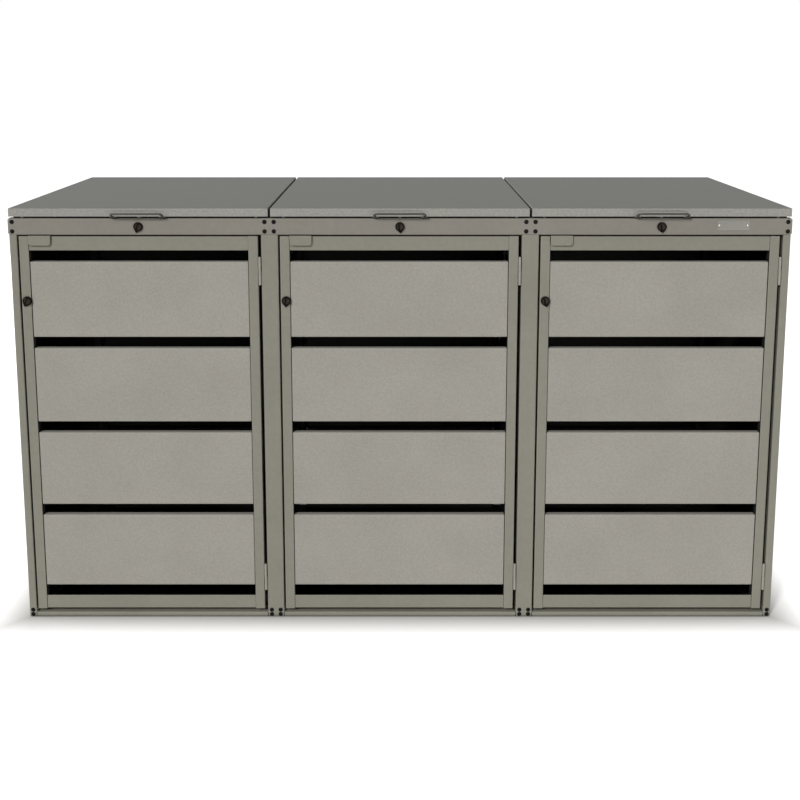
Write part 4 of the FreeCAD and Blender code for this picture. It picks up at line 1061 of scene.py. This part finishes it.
@dataclass
class Lid(Assembly):
    """A folded lid with its handle, hinges and stay."""

    bar_radius: float = 2.75
    width: float = 142.2
    reach: float = 24.0
    rise: float = 13.0
    splay: float = 3.3
    foot: float = 4.5
    corner: float = 9.0
    corner_rows: int = 12
    sides: int = 24
    tab: float = 1.5
    tab_width: float = 16.0
    tab_depth: float = 10.0
    tab_powers: tuple[float, float] = (0.12, 0.35)
    tab_sides: int = 32

    def path(self, x: float) -> tuple[np.ndarray, np.ndarray]:
        """The bar's middle line: straight legs and grip, joined by arcs in the legs' planes.

        Args:
            x: the middle of the handle.

        Returns:
            Points along the line and unit directions there.
        """
        half = self.width / 2 - self.bar_radius
        near = half - self.splay
        corners = np.array([[-near, -self.foot, 0.0], [-half, -self.reach, self.rise],
                            [half, -self.reach, self.rise], [near, -self.foot, 0.0]])
        corners += np.array([x, self.layout.front, self.layout.lid_low - 2 * self.tab])
        points = [corners[0]]
        for k in (1, 2):
            into, out = corners[k] - corners[k - 1], corners[k + 1] - corners[k]
            into, out = into / np.linalg.norm(into), out / np.linalg.norm(out)
            half_turn = math.acos(np.clip(into @ out, -1, 1)) / 2
            inward = (out - into) / np.linalg.norm(out - into)
            centre = corners[k] + inward * self.corner / math.cos(half_turn)
            forward = (into + out) / np.linalg.norm(into + out)
            turn = np.linspace(-half_turn, half_turn, self.corner_rows)[:, None]
            points.extend(centre + self.corner * (np.sin(turn) * forward - np.cos(turn) * inward))
        points.append(corners[3])
        line = np.array(points)
        ways = np.gradient(line, axis=0)
        ways[0], ways[-1] = line[1] - line[0], line[-1] - line[-2]
        return line, ways / np.linalg.norm(ways, axis=1, keepdims=True)

    def bar(self, x: float) -> Surface:
        """A round bar: the circle a cos v + b sin v carried along the path, closed at both feet.

        The side a is square to the path in the plane of the handle's lean and b completes it.

        Args:
            x: the middle of the handle.

        Returns:
            The closed bar.
        """
        line, ways = self.path(x)
        lean = np.array([0.0, self.rise, self.reach - self.foot])
        side = np.broadcast_to(lean / np.linalg.norm(lean), line.shape)
        side = side - (side * ways).sum(axis=1, keepdims=True) * ways
        side /= np.linalg.norm(side, axis=1, keepdims=True)
        angle = angles(self.sides)[:, None]
        ring = side[:, None] * np.cos(angle) + np.cross(ways, side)[:, None] * np.sin(angle)
        start, end = (np.broadcast_to(line[k], (1, self.sides, 3)) for k in (0, -1))
        whole = np.concatenate([start, line[:, None] + self.bar_radius * ring, end])
        return Surface(whole.reshape(-1, 3), grid_faces(*whole.shape[:2]))

    def tabs(self, x: float) -> Surface:
        """The two tabs under the skirt: a flat bar's section carried along X.

        The section's point at angle v is the half size times a power of cosine and sine, which
        makes a rectangle with small rounded corners.

        Args:
            x: the middle of the handle.

        Returns:
            The closed tabs.
        """
        low, high = self.layout.lid_low - self.tab, self.layout.lid_low
        near, far = self.layout.front - self.foot, self.layout.front + self.tab_depth
        angle = angles(self.tab_sides, 0.5)
        y, z = (size / 2 * np.sign(wave) * np.abs(wave) ** power for size, wave, power in
                zip((far - near, high - low), (np.cos(angle), np.sin(angle)), self.tab_powers))
        along = np.repeat(PAIR * self.tab_width, 2)[:, None]
        grow = np.array([0.0, 1.0, 1.0, 0.0])[:, None]
        points = np.stack(np.broadcast_arrays(along, grow * y, grow * z), axis=-1)
        apart = self.width - 2 * (self.bar_radius + self.splay)
        one = Surface(points.reshape(-1, 3), grid_faces(*points.shape[:2]))
        return one.moved(np.eye(3), lattice(x + PAIR * apart, [(near + far) / 2], [(low + high) / 2]))

    def build(self) -> None:
        """Makes the handles and dresses the lids, hinges and stays."""
        for bay in self.layout.numbers:
            x = self.layout.middle(bay)
            piece(f"lid_bow_handle_{bay}", [self.bar(x), self.tabs(x)],
                  [self.palette.bar, self.palette.lid], f"lid_{bay}", f"lid_handle_{bay}")
            # the lid's top takes painted shade
            dress(self.palette.lid, f"lid_{bay}", f"lid_hinge_leaves_{bay}")
            dress(self.palette.zinc, f"lid_stay_{bay}")
        dress(self.palette.post, "lid_hinge_pins")


@dataclass
class Door(Assembly):
    """A door of four folded panels in a frame of tube stiles and folded rails."""

    def build(self) -> None:
        """Dresses the doors and their hinges."""
        for bay, coat in zip(self.layout.numbers, self.palette.door_frames):
            # each door frame takes painted shade on the sides of its window
            dress(coat, f"door_frame_{bay}")
            dress(self.palette.panel, f"door_panels_{bay}", f"door_hinge_leaves_{bay}")
            dress(self.palette.post, f"door_pull_tab_{bay}")
        dress(self.palette.panel, "door_hinge_pins")


@dataclass
class Lamp:
    """A soft rectangular lamp that looks at a point. Its places and size are metres.

    It shines unless shiny pieces aren't to mirror it.
    """

    name: str
    place: tuple[float, float, float]
    target: tuple[float, float, float]
    size: tuple[float, float]
    watts: float
    shines: bool = True

    def build(self) -> None:
        """Adds the lamp."""
        light = bpy.data.lights.new(self.name, "AREA")
        light.shape = "RECTANGLE"
        light.size, light.size_y = self.size
        light.energy = self.watts
        shown = bpy.data.objects.new(self.name, light)
        shown.location = self.place
        shown.visible_glossy = self.shines
        way = np.array(self.target) - np.array(self.place)
        flat = math.hypot(way[0], way[1])
        shown.rotation_euler = (math.atan2(flat, -way[2]), 0.0, math.atan2(-way[0], way[1]))
        bpy.context.scene.collection.objects.link(shown)


@dataclass
class Studio:
    """Floor, soft light and the camera at the photograph's angle.

    The camera's place, lens and sensor are millimetres. Its sight and the floor's half are metres.
    """

    layout: Layout
    camera_ahead: float = 2918.0
    camera_height: float = 1531.0
    camera_tilt: float = 9.01
    lens: float = 50.1
    sensor: float = 36.0
    shift: float = -0.20
    sight: float = 60.0
    ambient: float = 0.2
    floor_half: float = 14.0
    floor_points: int = 9
    lamps: list[Lamp] = field(default_factory=lambda: [
        Lamp("key", (-14.0, -25.5, 19.4), (0.0, -0.3, 0.4), (4.2, 3.5), 7550.0),
        Lamp("fill", (1.5, -5.0, 0.3), (0.1, -0.3, 0.1), (2.8, 0.5), 55.0),
        Lamp("rear", (-1.5, 6.0, 1.2), (0.0, 0.3, 0.5), (3.0, 1.8), 215.0, shines=False),
        Lamp("side_left", (-6.4, 0.9, 1.2), (-0.9, 0.1, 0.5), (2.6, 1.8), 165.0, shines=False),
        Lamp("side_right", (6.4, 0.6, 1.2), (0.9, 0.1, 0.5), (2.6, 1.8), 165.0, shines=False)])

    def floor(self) -> None:
        """A wide flat sheet on a grid of points."""
        along = np.linspace(-self.floor_half, self.floor_half, self.floor_points)
        x, y = np.meshgrid(along, along)
        points = np.stack([x, y, np.zeros_like(x)], axis=-1).reshape(-1, 3)
        mesh = bpy.data.meshes.new("studio_floor")
        mesh.from_pydata(points.tolist(), [], grid_faces(*x.shape, close_columns=False).tolist())
        mesh.materials.append(StudioFloor().material())
        shown = bpy.data.objects.new("studio_floor", mesh)
        bpy.context.scene.collection.objects.link(shown)

    def world(self) -> None:
        """White for the camera, for reflections and through glass; a plain soft light otherwise."""
        world = bpy.data.worlds.new("studio")
        bpy.context.scene.world = world
        world.use_nodes = True
        tree = world.node_tree
        tree.nodes.clear()
        ray = add(tree, "LightPath")
        seen = add(tree, "Math", {
            "operation": "MAXIMUM", 0: ray.outputs["Is Camera Ray"], 1: ray.outputs["Is Glossy Ray"]})
        either = add(tree, "Math", {
            "operation": "MAXIMUM", 0: seen, 1: ray.outputs["Is Transmission Ray"]})
        strength = add(tree, "MapRange", {"To Min": self.ambient, "Value": either})
        light = add(tree, "Background", {"Color": WHITE, "Strength": strength})
        add(tree, "OutputWorld", {"Surface": light})

    def camera(self) -> None:
        """The camera in front of the store's middle, a little above it and tilted down."""
        data = bpy.data.cameras.new("camera")
        data.sensor_width = self.sensor
        data.lens = self.lens
        data.shift_y = self.shift
        data.dof.use_dof = False
        data.clip_end = self.sight
        shown = bpy.data.objects.new("camera", data)
        shown.location = (0.0, (self.layout.front - self.camera_ahead) * MM, self.camera_height * MM)
        shown.rotation_euler = (math.radians(90.0 - self.camera_tilt), 0.0, 0.0)
        bpy.context.scene.collection.objects.link(shown)
        bpy.context.scene.camera = shown

    def build(self) -> None:
        """Sets up the studio."""
        self.floor()
        self.world()
        for lamp in self.lamps:
            lamp.build()
        self.camera()
        bpy.context.scene.view_settings.view_transform = "Standard"


def main() -> None:
    """Builds and dresses the store, then its studio."""
    logging.basicConfig(level=logging.INFO, format="%(name)s: %(message)s")
    layout = Layout()
    palette = Palette([layout.door_middle(bay) for bay in layout.numbers])
    for part in (Framework(layout, palette), HeaderTrim(layout, palette), Lock(layout, palette),
                 Lid(layout, palette), Door(layout, palette), Studio(layout)):
        part.build()
        log.info("%s is ready", type(part).__name__)


if __name__ == "__main__":
    main()
